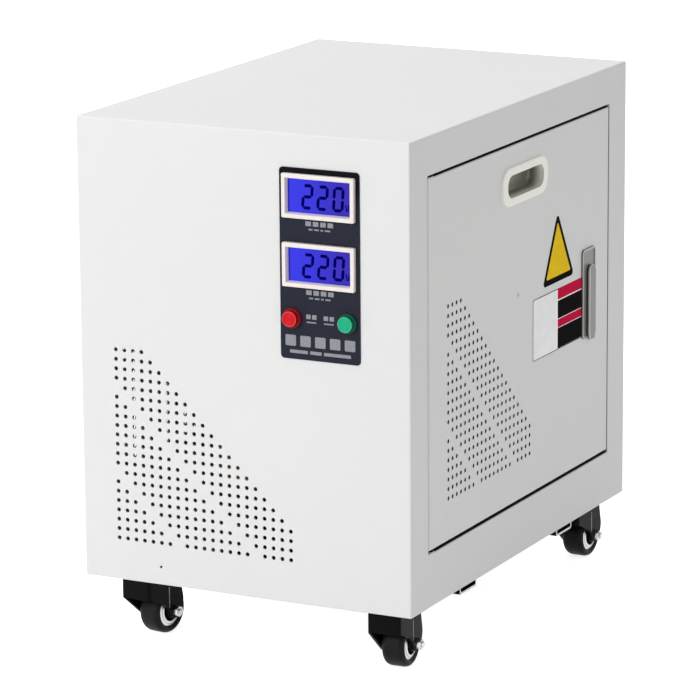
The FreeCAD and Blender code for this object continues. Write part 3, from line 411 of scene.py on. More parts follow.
# %% Soft lamps
def soft_lamp(name, place, aim, size, power, color=(1.0, 1.0, 1.0)):
    """Square area lamp at `place`, which faces `aim`."""
    light = bpy.data.lights.new(name, "AREA")
    light.shape = "SQUARE"
    light.size = size
    light.energy = power
    light.color = color
    lamp = bpy.data.objects.new(name, light)
    lamp.location = place
    lamp.rotation_euler = (Vector(place) - Vector(aim)).to_track_quat("Z", "Y").to_euler()
    bpy.context.collection.objects.link(lamp)


soft_lamp("front_lamp", (-1.3, -3.4, 1.7), (0.0, 0.0, 0.3), 1.8, 70.0)
soft_lamp("roof_lamp", (-0.8, 0.3, 3.2), (0.0, 0.0, 0.5), 2.2, 39.5)
soft_lamp("side_lamp", (3.2, -0.4, 1.2), (0.0, 0.0, 0.3), 1.6, 6.3, (1.0, 0.985, 0.96))

# %% [markdown]
# ## Painted sheet
#
# Powder coat is sprayed on dry and baked, which leaves a fine orange peel: a wavy skin with
# cells about a millimetre across. The peel goes into a bump, and very weak clouds in colour
# and gloss keep the large flat sheets from looking like a drawing.


# %% Powder coat
def powder_coat(name):
    """White coat with orange peel and faint clouds."""
    coat = Finish(name, (0.742, 0.743, 0.740), 0.42, specular_ior_level=0.3)
    peel = coat.noise(0.0012, detail=2.0)
    wave = coat.noise(0.09, detail=2.0)
    cloud = coat.noise(0.35, detail=3.0)
    coat.bump(peel * 0.6 + wave * 4.0, 0.00005)
    coat.mottle(cloud.smooth(0.25, 0.75), 0.025)
    coat.set("Roughness", 0.38 + 0.10 * coat.noise(0.02, detail=4.0))
    return coat


paint = powder_coat("powder_coat")
dress(paint, "front_panel", "rear_panel", "top_cover", "base_tray", "terminal_bracket")

# %% Painted shade on the walls of the door holes
# The walls of the small punched holes are painted near black: painted shade inside the holes.
SHEET = 0.0015
FACE_MARGIN = 0.00010
BACK_MARGIN = 0.00005
SOFT_STEP = 0.00015
FOLD_MARGIN = 0.006
FOLD_STEP = 0.001

door_low, door_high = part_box("right_door")
sheet_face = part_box("front_panel")[1][0]
door_paint = powder_coat("door_powder_coat")
depth = sheet_face - door_paint.part(0).abs()
below_face = depth.smooth(FACE_MARGIN, FACE_MARGIN + SOFT_STEP)
back = SHEET - BACK_MARGIN
hole_wall_painted_shade = below_face * (1.0 - depth.smooth(back - SOFT_STEP, back))
for axis in (1, 2):
    along = door_paint.part(axis)
    first = door_low[axis] + FOLD_MARGIN
    last = door_high[axis] - FOLD_MARGIN
    hole_wall_painted_shade = hole_wall_painted_shade * along.smooth(first, first + FOLD_STEP)
    hole_wall_painted_shade = hole_wall_painted_shade * (1.0 - along.smooth(last - FOLD_STEP, last))
# painted shade: the hole walls, away from the face, the back and the folds, turn near black
door_paint.grade(hole_wall_painted_shade, door_paint.color, (0.05, 0.05, 0.05))
dress(door_paint, "right_door", "left_door")

# %% [markdown]
# ## Instrument plate
#
# A screen-printed metal plate: near black along the top and slate below, with rows of pale
# bars. Each bar is a thin plate of its own, a few hundredths of a millimetre proud, like a
# coat of ink.

# %% Plate skin and places on it
plate_low, plate_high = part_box("instrument_plate")
plate_x = (plate_low[0] + plate_high[0]) / 2
plate_y = plate_low[1]
plate_top = plate_high[2]

print_skin = Finish("instrument_print", (0.021, 0.023, 0.035), 0.5, specular_ior_level=0.05)
upper_share = print_skin.part(2).smooth(plate_top - 0.055, plate_top - 0.004)
print_skin.grade(upper_share, (0.021, 0.023, 0.036), (0.003, 0.003, 0.005))
print_skin.bump(print_skin.noise(0.0006, detail=2.0), 0.00001)
dress(print_skin, "instrument_plate")

ink = Finish("pale_ink", (0.30, 0.31, 0.34), 0.55, specular_ior_level=0.2)
ink.mottle(ink.noise(0.0015).smooth(0.3, 0.7), 0.25)


# %% Printed marks
INK_THICKNESS = 0.00006
UNDER_METER = ((-0.0050, [0.0062] * 4, 0.0020, 0.0048, 0.0003),
               (-0.0108, [0.0046, 0.0052, 0.0030, 0.0060], 0.0018, 0.0016, 0.0003))
BETWEEN_LAMPS = ((0.0026, [0.0050] * 2, 0.0016, 0.0046, 0.0003),
                 (-0.0030, [0.0110], 0.0, 0.0014, 0.0003))
ALONG_BOTTOM = ((0.0190, [0.0118] * 5, 0.0048, 0.0112, 0.0012),
                (0.0078, [0.0200, 0.0130, 0.0300], 0.0026, 0.0034, 0.0003))
LAMP_BARS_X = 0.0098


def bars(middle, base, rows):
    """Rows of bars, each given by its rise over the base, widths, gap, height and corner radius."""
    outlines = []
    for rise, widths, gap, height, radius in rows:
        place = middle - (sum(widths) + gap * (len(widths) - 1)) / 2
        for width in widths:
            outlines.append(rectangle(width, height, radius, 4) + [place + width / 2, base + rise])
            place += width + gap
    return outlines


def printed(name, outlines, plane, finish, body, slot, low=0.0, thickness=INK_THICKNESS):
    """Thin plates of ink or film from a list of outlines."""
    grids = [plane.at(plate_grid(outline, low, low + thickness, thickness / 2)) for outline in outlines]
    return make_piece(name, grids, finish, body, slot)


meter_boxes = [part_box("input_meter_housing"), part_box("output_meter_housing")]
lamp_low, lamp_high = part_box("input_lamp_lens")
lamp_middle = (lamp_low[2] + lamp_high[2]) / 2 - plate_top
marks = []
for low, high in meter_boxes:
    marks += bars(0.0, low[2] - plate_top, UNDER_METER)
for side in (-1, 1):
    marks += bars(side * LAMP_BARS_X, lamp_middle, BETWEEN_LAMPS)
marks += bars(0.0, plate_low[2] - plate_top, ALONG_BOTTOM)
printed("instrument_marks", marks, front_plane(plate_x, plate_top, plate_y), ink, "cabinet",
        "instrument_black")

# %% [markdown]
# ## Digital meters
#
# Each meter is a cream moulded bezel with a deep bevelled window, and behind it a blue
# backlit display whose dark segments form the number. The glow is stronger at the left
# edge, where the backlight sits, so the colour of the light varies across the window.

# %% Bezel and display skins
bezel = Finish("bezel_plastic", (0.82, 0.76, 0.715), 0.32)
bezel.mottle(bezel.noise(0.004).smooth(0.2, 0.8), 0.03)
dress(bezel, "input_meter_housing", "output_meter_housing")

glass = Finish("blue_display", (0.004, 0.004, 0.05), 0.12, specular_ior_level=0.06,
               emission_strength=0.85)
across = glass.part(0)
fading = across.smooth(plate_x - 0.036, plate_x + 0.040) + 0.14 * glass.noise(0.010)
glow = glass.blend(fading, (0.040, 0.045, 0.93), (0.042, 0.026, 0.50))
rim = (across - plate_x).abs().smooth(0.0325, 0.0348)
glass.set("Emission Color", glass.blend(rim, glow, (0.010, 0.008, 0.22)))
dress(glass, "input_meter_display", "output_meter_display")

digit_skin = Finish("display_segments", (0.0, 0.0, 0.005), 0.6, specular_ior_level=0.0,
                    emission_strength=0.8)
digit_skin.set("Emission Color", (0.0015, 0.0005, 0.15, 1.0))

# %% Seven-segment digits
DIGIT_HEIGHT = 0.0258
DIGIT_WIDTH = 0.0128
STROKE = 0.0033
SEGMENT_GAP = 0.0002
SLANT = math.tan(math.radians(4.0))
SEGMENTS = {"0": "abcdef", "2": "abged"}
DIGIT_PLACES = (("2", -0.0131), ("2", 0.0038), ("0", 0.0212))
DIGIT_RISE = -0.0005
UNIT_PLACE = (0.0310, -0.0085)
UNIT_HEIGHT = 0.0066
UNIT_WIDTH = 0.0046
UNIT_STROKE = 0.0013


def segment_outline(letter):
    """One segment as a six-sided bar with pointed ends, in a cell about the origin."""
    column = DIGIT_WIDTH / 2 - STROKE / 2
    row = DIGIT_HEIGHT / 2 - STROKE / 2
    ends = {"a": ((-column, row), (column, row)), "g": ((-column, 0), (column, 0)),
            "d": ((-column, -row), (column, -row)), "f": ((-column, 0), (-column, row)),
            "b": ((column, 0), (column, row)), "e": ((-column, -row), (-column, 0)),
            "c": ((column, -row), (column, 0))}
    start, end = np.array(ends[letter][0]), np.array(ends[letter][1])
    along = unit(end - start)
    aside = np.array([-along[1], along[0]]) * STROKE / 2
    start = start + along * SEGMENT_GAP
    end = end - along * SEGMENT_GAP
    shoulder = along * STROKE / 2
    return np.array([start, start + shoulder - aside, end - shoulder - aside, end,
                     end - shoulder + aside, start + shoulder + aside])


def slanted(outline, place):
    """Lean the outline to the right and move it: a + slant * b."""
    return np.column_stack([outline[:, 0] + SLANT * outline[:, 1], outline[:, 1]]) + place


def unit_mark():
    """Two strokes that meet at the bottom, as the volt sign beside the number."""
    top = UNIT_HEIGHT / 2
    strokes = []
    for side in (-1, 1):
        corners = np.array([(0, -top), (side * UNIT_STROKE, -top), (side * UNIT_WIDTH / 2, top),
                            (side * (UNIT_WIDTH / 2 - UNIT_STROKE), top)])
        strokes.append(corners[::side] + UNIT_PLACE)
    return strokes


for (low, high), name in zip(meter_boxes, ("input", "output")):
    middle = (low[2] + high[2]) / 2
    display_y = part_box(name + "_meter_display")[0][1]
    outlines = []
    for character, offset in DIGIT_PLACES:
        outlines += [slanted(segment_outline(letter), (offset, DIGIT_RISE))
                     for letter in SEGMENTS[character]]
    outlines += unit_mark()
    printed(name + "_meter_digits", outlines, front_plane(plate_x, middle, display_y), digit_skin,
            "cabinet", "display_blue", thickness=0.00012)

# %% [markdown]
# ## Pilot lamps
#
# A pilot lamp is a turned coloured lens: a flat face with fine rings that spread the light,
# a rounded edge, and a wider flange behind it. It takes the place of the frame's plain disc.


# %% Lens skins and turned lenses
def lens_with_painted_light(name, face, skirt, face_y):
    """Coloured plastic with painted light: a lit face with a painted highlight round its rim, and the skirt
    behind it in painted shade.
    """
    finish = Finish(name, face, 0.34, specular_ior_level=0.12)
    inward = finish.part(1)
    # painted shade: behind the face the colour turns to the darker skirt copy
    behind = inward.smooth(face_y + 0.0009, face_y + 0.0020)
    # painted highlight: a lighter copy of the face colour, laid round the face's rim
    bright = tuple(min(1.0, 0.75 * channel + 0.16) for channel in face)
    rim = inward.smooth(face_y + 0.00035, face_y + 0.00005)
    finish.grade(behind, finish.blend(rim * 0.6, face, bright), skirt)
    return finish


LENS_RINGS = 5
CAP_SHARE = 0.80
CAP_EDGE = 0.0009
FLANGE_SHARE = 0.42
RIPPLE_DEPTH = 0.00018
# each lens has its face colour and a darker skirt copy of it, which is painted shade
for name, face, skirt in (("input", (0.62, 0.005, 0.012), (0.26, 0.003, 0.006)),
                          ("output", (0.010, 0.42, 0.22), (0.002, 0.09, 0.045))):
    low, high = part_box(name + "_lamp_lens")
    radius = (high[0] - low[0]) / 2
    proud = high[1] - low[1]
    cap = radius * CAP_SHARE
    ring = np.linspace(0.0, cap * 0.84, 8 * LENS_RINGS + 1)
    ripple = RIPPLE_DEPTH * np.abs(np.sin(np.pi * LENS_RINGS * ring / ring[-1]))
    face_rows = np.column_stack([ring, proud - 0.0004 - ripple])
    rim = arc_profile((cap - CAP_EDGE, proud - CAP_EDGE), CAP_EDGE, 90, 0)
    shoulder = np.array([(cap * 0.86, proud - 0.0003), (cap * 0.89, proud)])
    flange = FLANGE_SHARE * proud
    skirt_rows = np.array([(cap + 0.0003, flange + 0.0006), (cap + 0.0009, flange),
                           (radius - 0.0006, flange - 0.0003), (radius, flange - 0.0010),
                           (radius, 0.0006), (radius - 0.0004, 0.0), (0, 0)])
    profile = np.concatenate([face_rows, shoulder, rim, skirt_rows])
    where = front_plane((low[0] + high[0]) / 2, (low[2] + high[2]) / 2, high[1])
    piece = make_piece(name + "_lens", [where.at(turned_grid(profile, 72))],
                       lens_with_painted_light(name + "_lens_plastic", face, skirt, low[1]), "cabinet",
                       "lamp_red" if name == "input" else "lamp_green", sharp=25.0)
    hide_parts(name + "_lamp_lens")

# %% [markdown]
# ## Stickers on the right door
#
# Two printed films: a tall yellow triangle with a black border, and a panel with a white
# field and four red and black bands. The black film under the white field, a little larger,
# is a painted shadow round its edge. Film has a thickness, so each field is a thin plate
# with a soft rim.

# %% Film skins
FILM = 0.00018
film_black = Finish("film_black", (0.014, 0.012, 0.012), 0.6, specular_ior_level=0.0)
film_yellow = Finish("film_yellow", (1.0, 0.67, 0.030), 0.6, specular_ior_level=0.0)
film_red = Finish("film_red", (0.68, 0.016, 0.070), 0.6, specular_ior_level=0.0)
film_white = Finish("film_white", (0.99, 0.98, 0.99), 0.45, specular_ior_level=0.4)
for film in (film_black, film_yellow, film_red, film_white):
    film.mottle(film.noise(0.012).smooth(0.3, 0.7), 0.06)

cabinet_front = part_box("front_panel")[0][1]
cabinet_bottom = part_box("base_tray")[0][2]
door_face = side_plane(cabinet_front, cabinet_bottom, sheet_face)

# %% Yellow triangle and banded panel
TRIANGLE = np.array([(0.3196, 0.2755), (0.4010, 0.2755), (0.3578, 0.3512)])
FIELD_SHARE = 0.775
FIELD_RISE = 0.0008
PANEL_FRONT, PANEL_REAR = 0.2946, 0.4292
PANEL_LOW, PANEL_HIGH = 0.2013, 0.2677
PANEL_SHADOW_RIM = 0.0008
BAND_FRONT = 0.3584
BANDS = ((film_red, 0.0, 0.18), (film_black, 0.20, 0.495), (film_red, 0.505, 0.64),
         (film_black, 0.65, 0.985))


def sticker(name, outline, film, low=0.0, thickness=FILM):
    """One colour field on the right door."""
    printed(name, [outline], door_face, film, "right_door", "instrument_black", low, thickness)


middle = TRIANGLE.mean(0)
inside = (TRIANGLE - middle) * FIELD_SHARE + middle + [0.0, FIELD_RISE]
sticker("door_triangle_border", rounded(TRIANGLE, 0.0040), film_black)
sticker("door_triangle_field", rounded(inside, 0.0016), film_yellow, FILM / 2, FILM * 0.7)

panel_middle = np.array([PANEL_FRONT + PANEL_REAR, PANEL_LOW + PANEL_HIGH]) / 2
panel_length = PANEL_REAR - PANEL_FRONT
panel_height = PANEL_HIGH - PANEL_LOW
# painted shadow: a black film just larger than the white field shows as a dark line round it
sticker("door_panel_shadow_rim", rectangle(panel_length, panel_height, 0.003) + panel_middle, film_black)
white_field = rectangle(panel_length - 2 * PANEL_SHADOW_RIM, panel_height - 2 * PANEL_SHADOW_RIM, 0.0024)
sticker("door_panel_film", white_field + panel_middle, film_white, FILM / 2, FILM * 0.6)
band_middle = (BAND_FRONT + PANEL_REAR - PANEL_SHADOW_RIM) / 2
band_length = PANEL_REAR - BAND_FRONT - 1.5 * PANEL_SHADOW_RIM
for number, (film, top_share, bottom_share) in enumerate(BANDS, 1):
    band = rectangle(band_length, (bottom_share - top_share) * panel_height, 0.0005, 4)
    centre = PANEL_HIGH - (top_share + bottom_share) / 2 * panel_height
    sticker("door_band_" + str(number), band + [band_middle, centre], film, FILM / 2, FILM * 0.8)

# %% [markdown]
# ## Flush pulls and locks
#
# The pull is one moulding in cream plastic, its cup darker than its rim by painted shade. The lock
# is a zinc casting with a satin skin, with painted shade round the plate's edge and painted light
# on the lever. Its long lever was polished along its length, so the fine lines of its bump run up and down.

# %% Pull and lock skins
pull_skin = Finish("cream_plastic", (0.93, 0.915, 0.84), 0.33, coat_weight=0.15)
outside_cup_painted_shade = pull_skin.part(0).abs().smooth(sheet_face - 0.012, sheet_face + 0.0012)
# painted shade: the cup of the pull is darkened to a brown grey, and the rim keeps the cream colour
pull_skin.grade(outside_cup_painted_shade + 0.06 * pull_skin.noise(0.006), (0.20, 0.195, 0.155), pull_skin.color)
pull_skin.bump(pull_skin.noise(0.0008), 0.000012)
dress(pull_skin, "right_flush_pull", "left_flush_pull")

lock_skin = Finish("satin_zinc", (0.33, 0.325, 0.31), 0.42, 0.6)
grain = lock_skin.noise(0.0006, detail=4.0, scale=(1.0, 1.0, 0.03))
lock_skin.set("Roughness", 0.34 + 0.18 * grain)
plate_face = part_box("right_lock_plate")[1][0]
# painted shade: the plate's sides below its face turn near black, a dark outline round the plate
plate_edge_painted_shade = lock_skin.part(0).abs().smooth(plate_face - 0.0012, plate_face - 0.0004)
lock_skin.grade(plate_edge_painted_shade, (0.05, 0.05, 0.05), lock_skin.color)
lock_skin.bump(grain, 0.00002)
lever_skin = Finish("satin_lever", (0.235, 0.23, 0.22), 0.36, 0.6)
lever_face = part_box("right_lock_lever")[1][0]
from_plate = lever_skin.part(0).abs()
# painted light on the lever: near-black sides as painted shade, a painted highlight on the bevel, a
# mid-grey face
bevel_painted_highlight = from_plate.smooth(lever_face - 0.0034, lever_face - 0.0016)
on_face = from_plate.smooth(lever_face - 0.0007, lever_face - 0.0002)
lever_painted_light = lever_skin.blend(bevel_painted_highlight, (0.05, 0.05, 0.05), (0.62, 0.62, 0.61))
lever_skin.grade(on_face, lever_painted_light, (0.16, 0.155, 0.15))
lever_grain = lever_skin.noise(0.0005, detail=4.0, scale=(1.0, 1.0, 0.02))
lever_skin.set("Roughness", 0.26 + 0.2 * lever_grain)
lever_skin.bump(lever_grain, 0.00002)
for side in ("right", "left"):
    dress(lock_skin, side + "_lock_plate", side + "_lock_cam")
    dress(lever_skin, side + "_lock_lever")

# %% [markdown]
# ## Seals round the doors
#
# Thin foam strips close the slits round each door. The upper one is glued to the door, and
# the other two to the cabinet. Their near-black and dark grey colours are painted shade: they
# make the slits read as dark lines. The upright strip is the dark grey one.

# %% Foam strips in painted shade
# painted shade: near-black foam that makes the door slits read dark
foam = Finish("black_foam_painted_shade", (0.006, 0.006, 0.006), 0.9, specular_ior_level=0.1)
foam.bump(foam.noise(0.0008), 0.00008)
# painted shade: the upright strip's dark grey is the shade tone of the rear slit
grey_foam_painted_shade = Finish("grey_foam_painted_shade", (0.20, 0.195, 0.19), 0.85, specular_ior_level=0.2)
grey_foam_painted_shade.bump(grey_foam_painted_shade.noise(0.0008), 0.00008)
STRIP_WIDTH = 0.006
STRIP_FRONT = -0.2214
STRIP_REAR = door_high[1] - 0.001
STRIP_INSET = 0.0003
JAMB_Y = door_high[1] + 0.0015
LIP_Z = door_low[2] - 0.0030
UPPER_SEAL = 0.0009
LOWER_SEAL = 0.0012
JAMB_SEAL = 0.0007

strip_middle = (STRIP_FRONT + STRIP_REAR) / 2
jamb_height = door_high[2] - LIP_Z
lying_strip = rectangle(STRIP_WIDTH, STRIP_REAR - STRIP_FRONT, 0.0004, 3)
upright_strip = rectangle(STRIP_WIDTH, jamb_height, 0.0004, 3)
for side, body in ((1, "right_door"), (-1, "left_door")):
    strip_x = side * (sheet_face - STRIP_INSET - STRIP_WIDTH / 2)
    for name, z, thickness, rider in (("_upper_seal", door_high[2], UPPER_SEAL, body),
                                      ("_lower_seal", LIP_Z, LOWER_SEAL, "cabinet")):
        lying = Plane((strip_x, strip_middle, z), (1, 0, 0), (0, 1, 0), (0, 0, 1))
        strip = lying.at(plate_grid(lying_strip, 0.0, thickness, 0.0003))
        make_piece(body + name, [strip], foam, rider, "plastic_black")
    upright = front_plane(strip_x, LIP_Z + jamb_height / 2, JAMB_Y)
    strip = upright.at(plate_grid(upright_strip, 0.0, JAMB_SEAL, 0.0002))
    make_piece(body + "_jamb_seal", [strip], grey_foam_painted_shade, "cabinet", "plastic_black")

# %% [markdown]
# ## Zinc, black steel and black plastic
#
# Bolts and nuts carry bright zinc with a faint cloudy tint. The cross channels, hinge pins
# and caster forks are dipped in black. The light line along each fork's bend is a painted
# highlight: a grey strip laid on the crease.

# %% Hardware skins
zinc = Finish("bright_zinc", (0.62, 0.62, 0.63), 0.26, 1.0)
zinc_cloud = zinc.noise(0.004, detail=4.0)
zinc.set("Roughness", 0.18 + 0.2 * zinc_cloud)
zinc.mottle(zinc_cloud.smooth(0.3, 0.7), 0.18)
dress(zinc, "transformer_bolts", "caster_plates")

black_steel = Finish("black_steel", (0.004, 0.0037, 0.004), 0.34, specular_ior_level=0.04)
black_steel.set("Roughness", 0.26 + 0.22 * black_steel.noise(0.006, detail=5.0))
black_steel.bump(black_steel.noise(0.0015), 0.00002)
CORNERS = ("front_left", "front_right", "rear_left", "rear_right")
dress(black_steel, "cross_channels", "hinge_pins", *[corner + "_caster_fork" for corner in CORNERS])

cut_steel = Finish("cut_steel", (0.70, 0.70, 0.70), 0.45, 0.4)
cut_steel.mottle(cut_steel.noise(0.003).smooth(0.3, 0.7), 0.25)


def edge_grid(outer, inner, low, high):
    """Closed strip between two open lines: at each station the corners run low, low, high, high."""
    stations = [np.stack([(*a, low), (*b, low), (*b, high), (*a, high)]) for a, b in zip(outer, inner)]
    ends = [np.broadcast_to(stations[i].mean(axis=0), (4, 3)) for i in (0, -1)]
    return np.stack([ends[0], *stations, ends[1]])


CHANNEL_HALF = 0.020
CHANNEL_DROP = 0.007
CHANNEL_WALL = 0.0021
OUTER_BEND = 0.0020
INNER_BEND = 0.0030
half_line = np.array([(CHANNEL_HALF - OUTER_BEND, 0.0), (CHANNEL_HALF, OUTER_BEND),
                      (CHANNEL_HALF, CHANNEL_DROP)])
inner_half = np.array([(CHANNEL_HALF - INNER_BEND, CHANNEL_WALL), (CHANNEL_HALF - CHANNEL_WALL, INNER_BEND),
                       (CHANNEL_HALF - CHANNEL_WALL, CHANNEL_DROP)])
outer_line = np.concatenate([half_line[::-1] * [-1, 1], half_line])
inner_line = np.concatenate([inner_half[::-1] * [-1, 1], inner_half])
channel_low, channel_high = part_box("cross_channels")
grids = []
for side in (-1, 1):
    for channel_y in (channel_low[1] + CHANNEL_HALF, channel_high[1] - CHANNEL_HALF):
        end = side_plane(channel_y, channel_low[2], side * channel_high[0], side)
        grids.append(end.at(edge_grid(outer_line, inner_line, -0.0004, 0.00012)))
make_piece("channel_cut_edges", grids, cut_steel, "cabinet", "channel_black")

# %% Rivet heads and terminal screws
RIVET_RADIUS = 0.0026
RIVET_FROM_FRONT = 0.2572
RIVET_HEIGHT = 0.281
SCREW_STEP = 0.03367
SCREW_SEAT_Y = 0.2197
rivet_skin = Finish("rivet_aluminium", (0.30, 0.30, 0.30), 0.4, 0.7)
rivet_skin.mottle(rivet_skin.noise(0.001), 0.2)
dome = np.concatenate([arc_profile((0.0, -0.0026), 0.0037, 90, 45, 8), [(RIVET_RADIUS, 0.0), (0.0, 0.0)]])
for side, body in ((1, "right_door"), (-1, "left_door")):
    where = side_plane(cabinet_front + RIVET_FROM_FRONT, cabinet_bottom + RIVET_HEIGHT,
                       side * sheet_face, side)
    make_piece(body + "_rivet_head", [where.at(turned_grid(dome, 32))], rivet_skin, body, "zinc_steel")

screw = np.concatenate([[(0.0, 0.0004), (0.0006, 0.0004), (0.0010, 0.0012), (0.0036, 0.0012)],
                        arc_profile((0.0043, 0.0004), 0.0008, 90, 0, 4),
                        [(0.0051, -0.0004), (0.0, -0.0004)]])
for name in ("input", "output"):
    low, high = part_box(name + "_terminal_block")
    middle = (low[0] + high[0]) / 2
    screws = [front_plane(middle + step * SCREW_STEP, (low[2] + high[2]) / 2, SCREW_SEAT_Y)
              for step in (-1, 0, 1)]
    make_piece(name + "_terminal_screws", [place.at(turned_grid(screw, 40)) for place in screws], zinc,
               "cabinet", "zinc_steel")

# %% Black mouldings and the earth stud
black_plastic = Finish("black_plastic", (0.02, 0.02, 0.021), 0.45)
black_plastic.bump(black_plastic.noise(0.0005), 0.00001)
dress(black_plastic, *[name + kind for name in ("input", "output")
                       for kind in ("_lamp_body", "_cable_gland", "_terminal_block")])

brass = Finish("bare_brass", (0.72, 0.55, 0.24), 0.28, 1.0)
brass.mottle(brass.noise(0.003, detail=4.0).smooth(0.3, 0.7), 0.2)
dress(brass, "earth_stud")

# %% [markdown]
# ## Caster wheels
#
# A moulded black tyre runs on a black centre, and a pressed bright ring closes each face.
# All three are surfaces of revolution about the axle, whose direction comes from the joint,
# so each wheel is turned as its caster happens to stand. The rings lie a little inside the
# tyre and rise towards the axle, like a shallow cone with a groove in its middle.

# %% Wheel skins
tyre = Finish("wheel_tyre", (0.010, 0.0096, 0.0096), 0.42, specular_ior_level=0.10)
tyre.set("Roughness", 0.36 + 0.2 * tyre.noise(0.01, detail=5.0))
tyre.bump(tyre.noise(0.0012), 0.00003)
centre_skin = Finish("wheel_centre", (0.004, 0.004, 0.004), 0.30, specular_ior_level=0.08)
centre_skin.bump(centre_skin.noise(0.002), 0.00003)
ring_skin = Finish("pressed_ring", (0.66, 0.65, 0.655), 0.30, 1.0)
ring_skin.set("Roughness", 0.24 + 0.14 * ring_skin.noise(0.003, detail=4.0))

# %% Where each caster stands
joints = {joint["name"]: joint for joint in frame["joints"]}


def axle_direction(corner):
    """Unit vector along a wheel's axle."""
    return unit(np.array(joints[corner + "_wheel_spin"]["axis"]))


def facing(origin, along):
    """Plane that looks along a level direction."""
    return Plane(origin, np.cross((0, 0, 1), along), (0, 0, 1), along)


axles = {corner: facing(joints[corner + "_wheel_spin"]["pos_m"], axle_direction(corner))
         for corner in CORNERS}

# %% Turned wheels
TYRE_RADIUS = 0.025
TYRE_BORE = 0.0177
HALF_WIDTH = 0.0123
SHOULDER_DEPTH = 0.0042
SHOULDER_WIDTH = 0.0062
RING_FACE = 0.0102
RING_RISE = 0.0022
RING_BORE = 0.0122
RING_LINE = np.array([(0.0177, 0.0012), (0.0176, 0.0), (0.0171, 0.0), (0.0155, 0.0), (0.0153, 0.0006),
                      (0.0147, 0.0006), (0.0145, 0.0), (0.0126, 0.0), (0.0122, 0.0003),
                      (0.0121, 0.0008), (0.0121, 0.0030), (0.0177, 0.0030)])
CENTRE_END = 0.0142


def mirrored(half):
    """Closed turned profile from its half at positive heights, ordered from the outside in."""
    return np.concatenate([half, half[::-1] * [1, -1]])


def ring_profile(side):
    """Pressed ring on one face: RING_LINE holds radius and depth below the cone's surface."""
    radius, dip = RING_LINE.T
    slope = RING_RISE / (TYRE_BORE - RING_BORE)
    return np.column_stack([radius, side * (RING_FACE + (TYRE_BORE - radius) * slope - dip)])


def tyre_shoulder(steps=14):
    """Quarter ellipse: radius falls by depth * (1 - cos t) while the width grows to the full half."""
    angle = np.linspace(0, np.pi / 2, steps)
    radius = TYRE_RADIUS - SHOULDER_DEPTH * (1 - np.cos(angle))
    return np.column_stack([radius, HALF_WIDTH - SHOULDER_WIDTH * (1 - np.sin(angle))])


tyre_half = np.concatenate([tyre_shoulder(), [(0.0196, HALF_WIDTH - 0.0001), (0.0180, RING_FACE + 0.0010)],
                            arc_profile((TYRE_BORE + 0.0006, RING_FACE + 0.0002), 0.0006, 90, 180, 4),
                            [(TYRE_BORE, 0.0060)]])
centre_half = np.concatenate([[(TYRE_BORE, 0.0070), (0.0118, 0.0070), (0.0090, 0.0085)],
                              arc_profile((0.0077, CENTRE_END - 0.0008), 0.0008, 0, 90, 4),
                              [(0.0042, CENTRE_END)]])
for corner in CORNERS:
    axle = axles[corner]
    body = corner + "_wheel"
    piece = make_piece(corner + "_tyre", [axle.at(turned_grid(mirrored(tyre_half), 96))], tyre, body,
                       "tread_black", close_rows=True, sharp=30.0)
    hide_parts(corner + "_caster_tread")
    piece = make_piece(corner + "_wheel_centre", [axle.at(turned_grid(mirrored(centre_half)))], centre_skin,
                       body, "hub_metal", close_rows=True)
    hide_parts(corner + "_caster_hub")
    rings = [axle.at(turned_grid(ring_profile(side), 96)) for side in (-1, 1)]
    make_piece(corner + "_wheel_rings", rings, ring_skin, body, "hub_metal", close_rows=True, sharp=25.0)

# %% [markdown]
# ## Caster forks
#
# A fork is pressed from one sheet: a wall in front and a leg on each side, under a flat
# crown. Seen from above the sheet is a U, so the piece is that U carried down from an upper
# edge to a lower one, and each edge is a height for every place along the U. The legs narrow
# towards the axle and bulge behind it, the right one more than the left. A thin grey strip
# down a crease on each leg is a painted highlight.

# %% Pressed forks
FORK_SIDE = 0.0182
FORK_WALL = 0.0027
FORK_FRONT = 0.0207
FORK_REAR = 0.0385
FORK_BEND = 0.0036
CROWN_TOP = 0.0682
CROWN_REAR = 0.033
CREASE_PLACE = (0.0142, 0.0425)
CREASE_SIZE = (0.0017, 0.0230)
LOW_EDGE = np.array([(-0.0207, 0.0457), (-0.0150, 0.0452), (-0.0050, 0.0405), (0.0080, 0.0345),
                     (0.0128, 0.0290), (0.0150, 0.0235), (0.0190, 0.0190), (0.0250, 0.0172),
                     (0.0310, 0.0190), (0.0360, 0.0250), (0.0385, 0.0335)])
FULL_EDGE = np.array([(-0.0207, 0.0457), (-0.0190, 0.0452), (0.0150, 0.0172), (0.0190, 0.0155),
                      (0.0250, 0.0150), (0.0320, 0.0175), (0.0360, 0.0240), (0.0385, 0.0335)])
HIGH_EDGE = np.array([(0.0330, 0.0682), (0.0345, 0.0560), (0.0385, 0.0380)])


def fork_stations(steps=64):
    """Plan of the U from the rear of one leg round to the other, with its outward normals.

    Along a leg only y changes. Round a bend the angle makes a quarter turn.
    """
    leg = np.linspace(FORK_REAR, FORK_BEND - FORK_FRONT, steps)
    turn = np.linspace(0, np.pi / 2, 9)[1:-1]
    leg_points = np.column_stack([np.full(steps, FORK_SIDE), leg])
    leg_normals = np.tile([1.0, 0.0], (steps, 1))
    bend_normals = np.column_stack([np.cos(turn), -np.sin(turn)])
    bend_points = bend_normals * FORK_BEND + [FORK_SIDE - FORK_BEND, FORK_BEND - FORK_FRONT]
    wall_points = np.array([(FORK_SIDE - FORK_BEND, -FORK_FRONT), (0.0, -FORK_FRONT)])
    half = np.concatenate([leg_points, bend_points, wall_points])
    normals = np.concatenate([leg_normals, bend_normals, [(0, -1), (0, -1)]])
    return [np.concatenate([one_side, one_side[-2::-1] * [-1, 1]]) for one_side in (half, normals)]


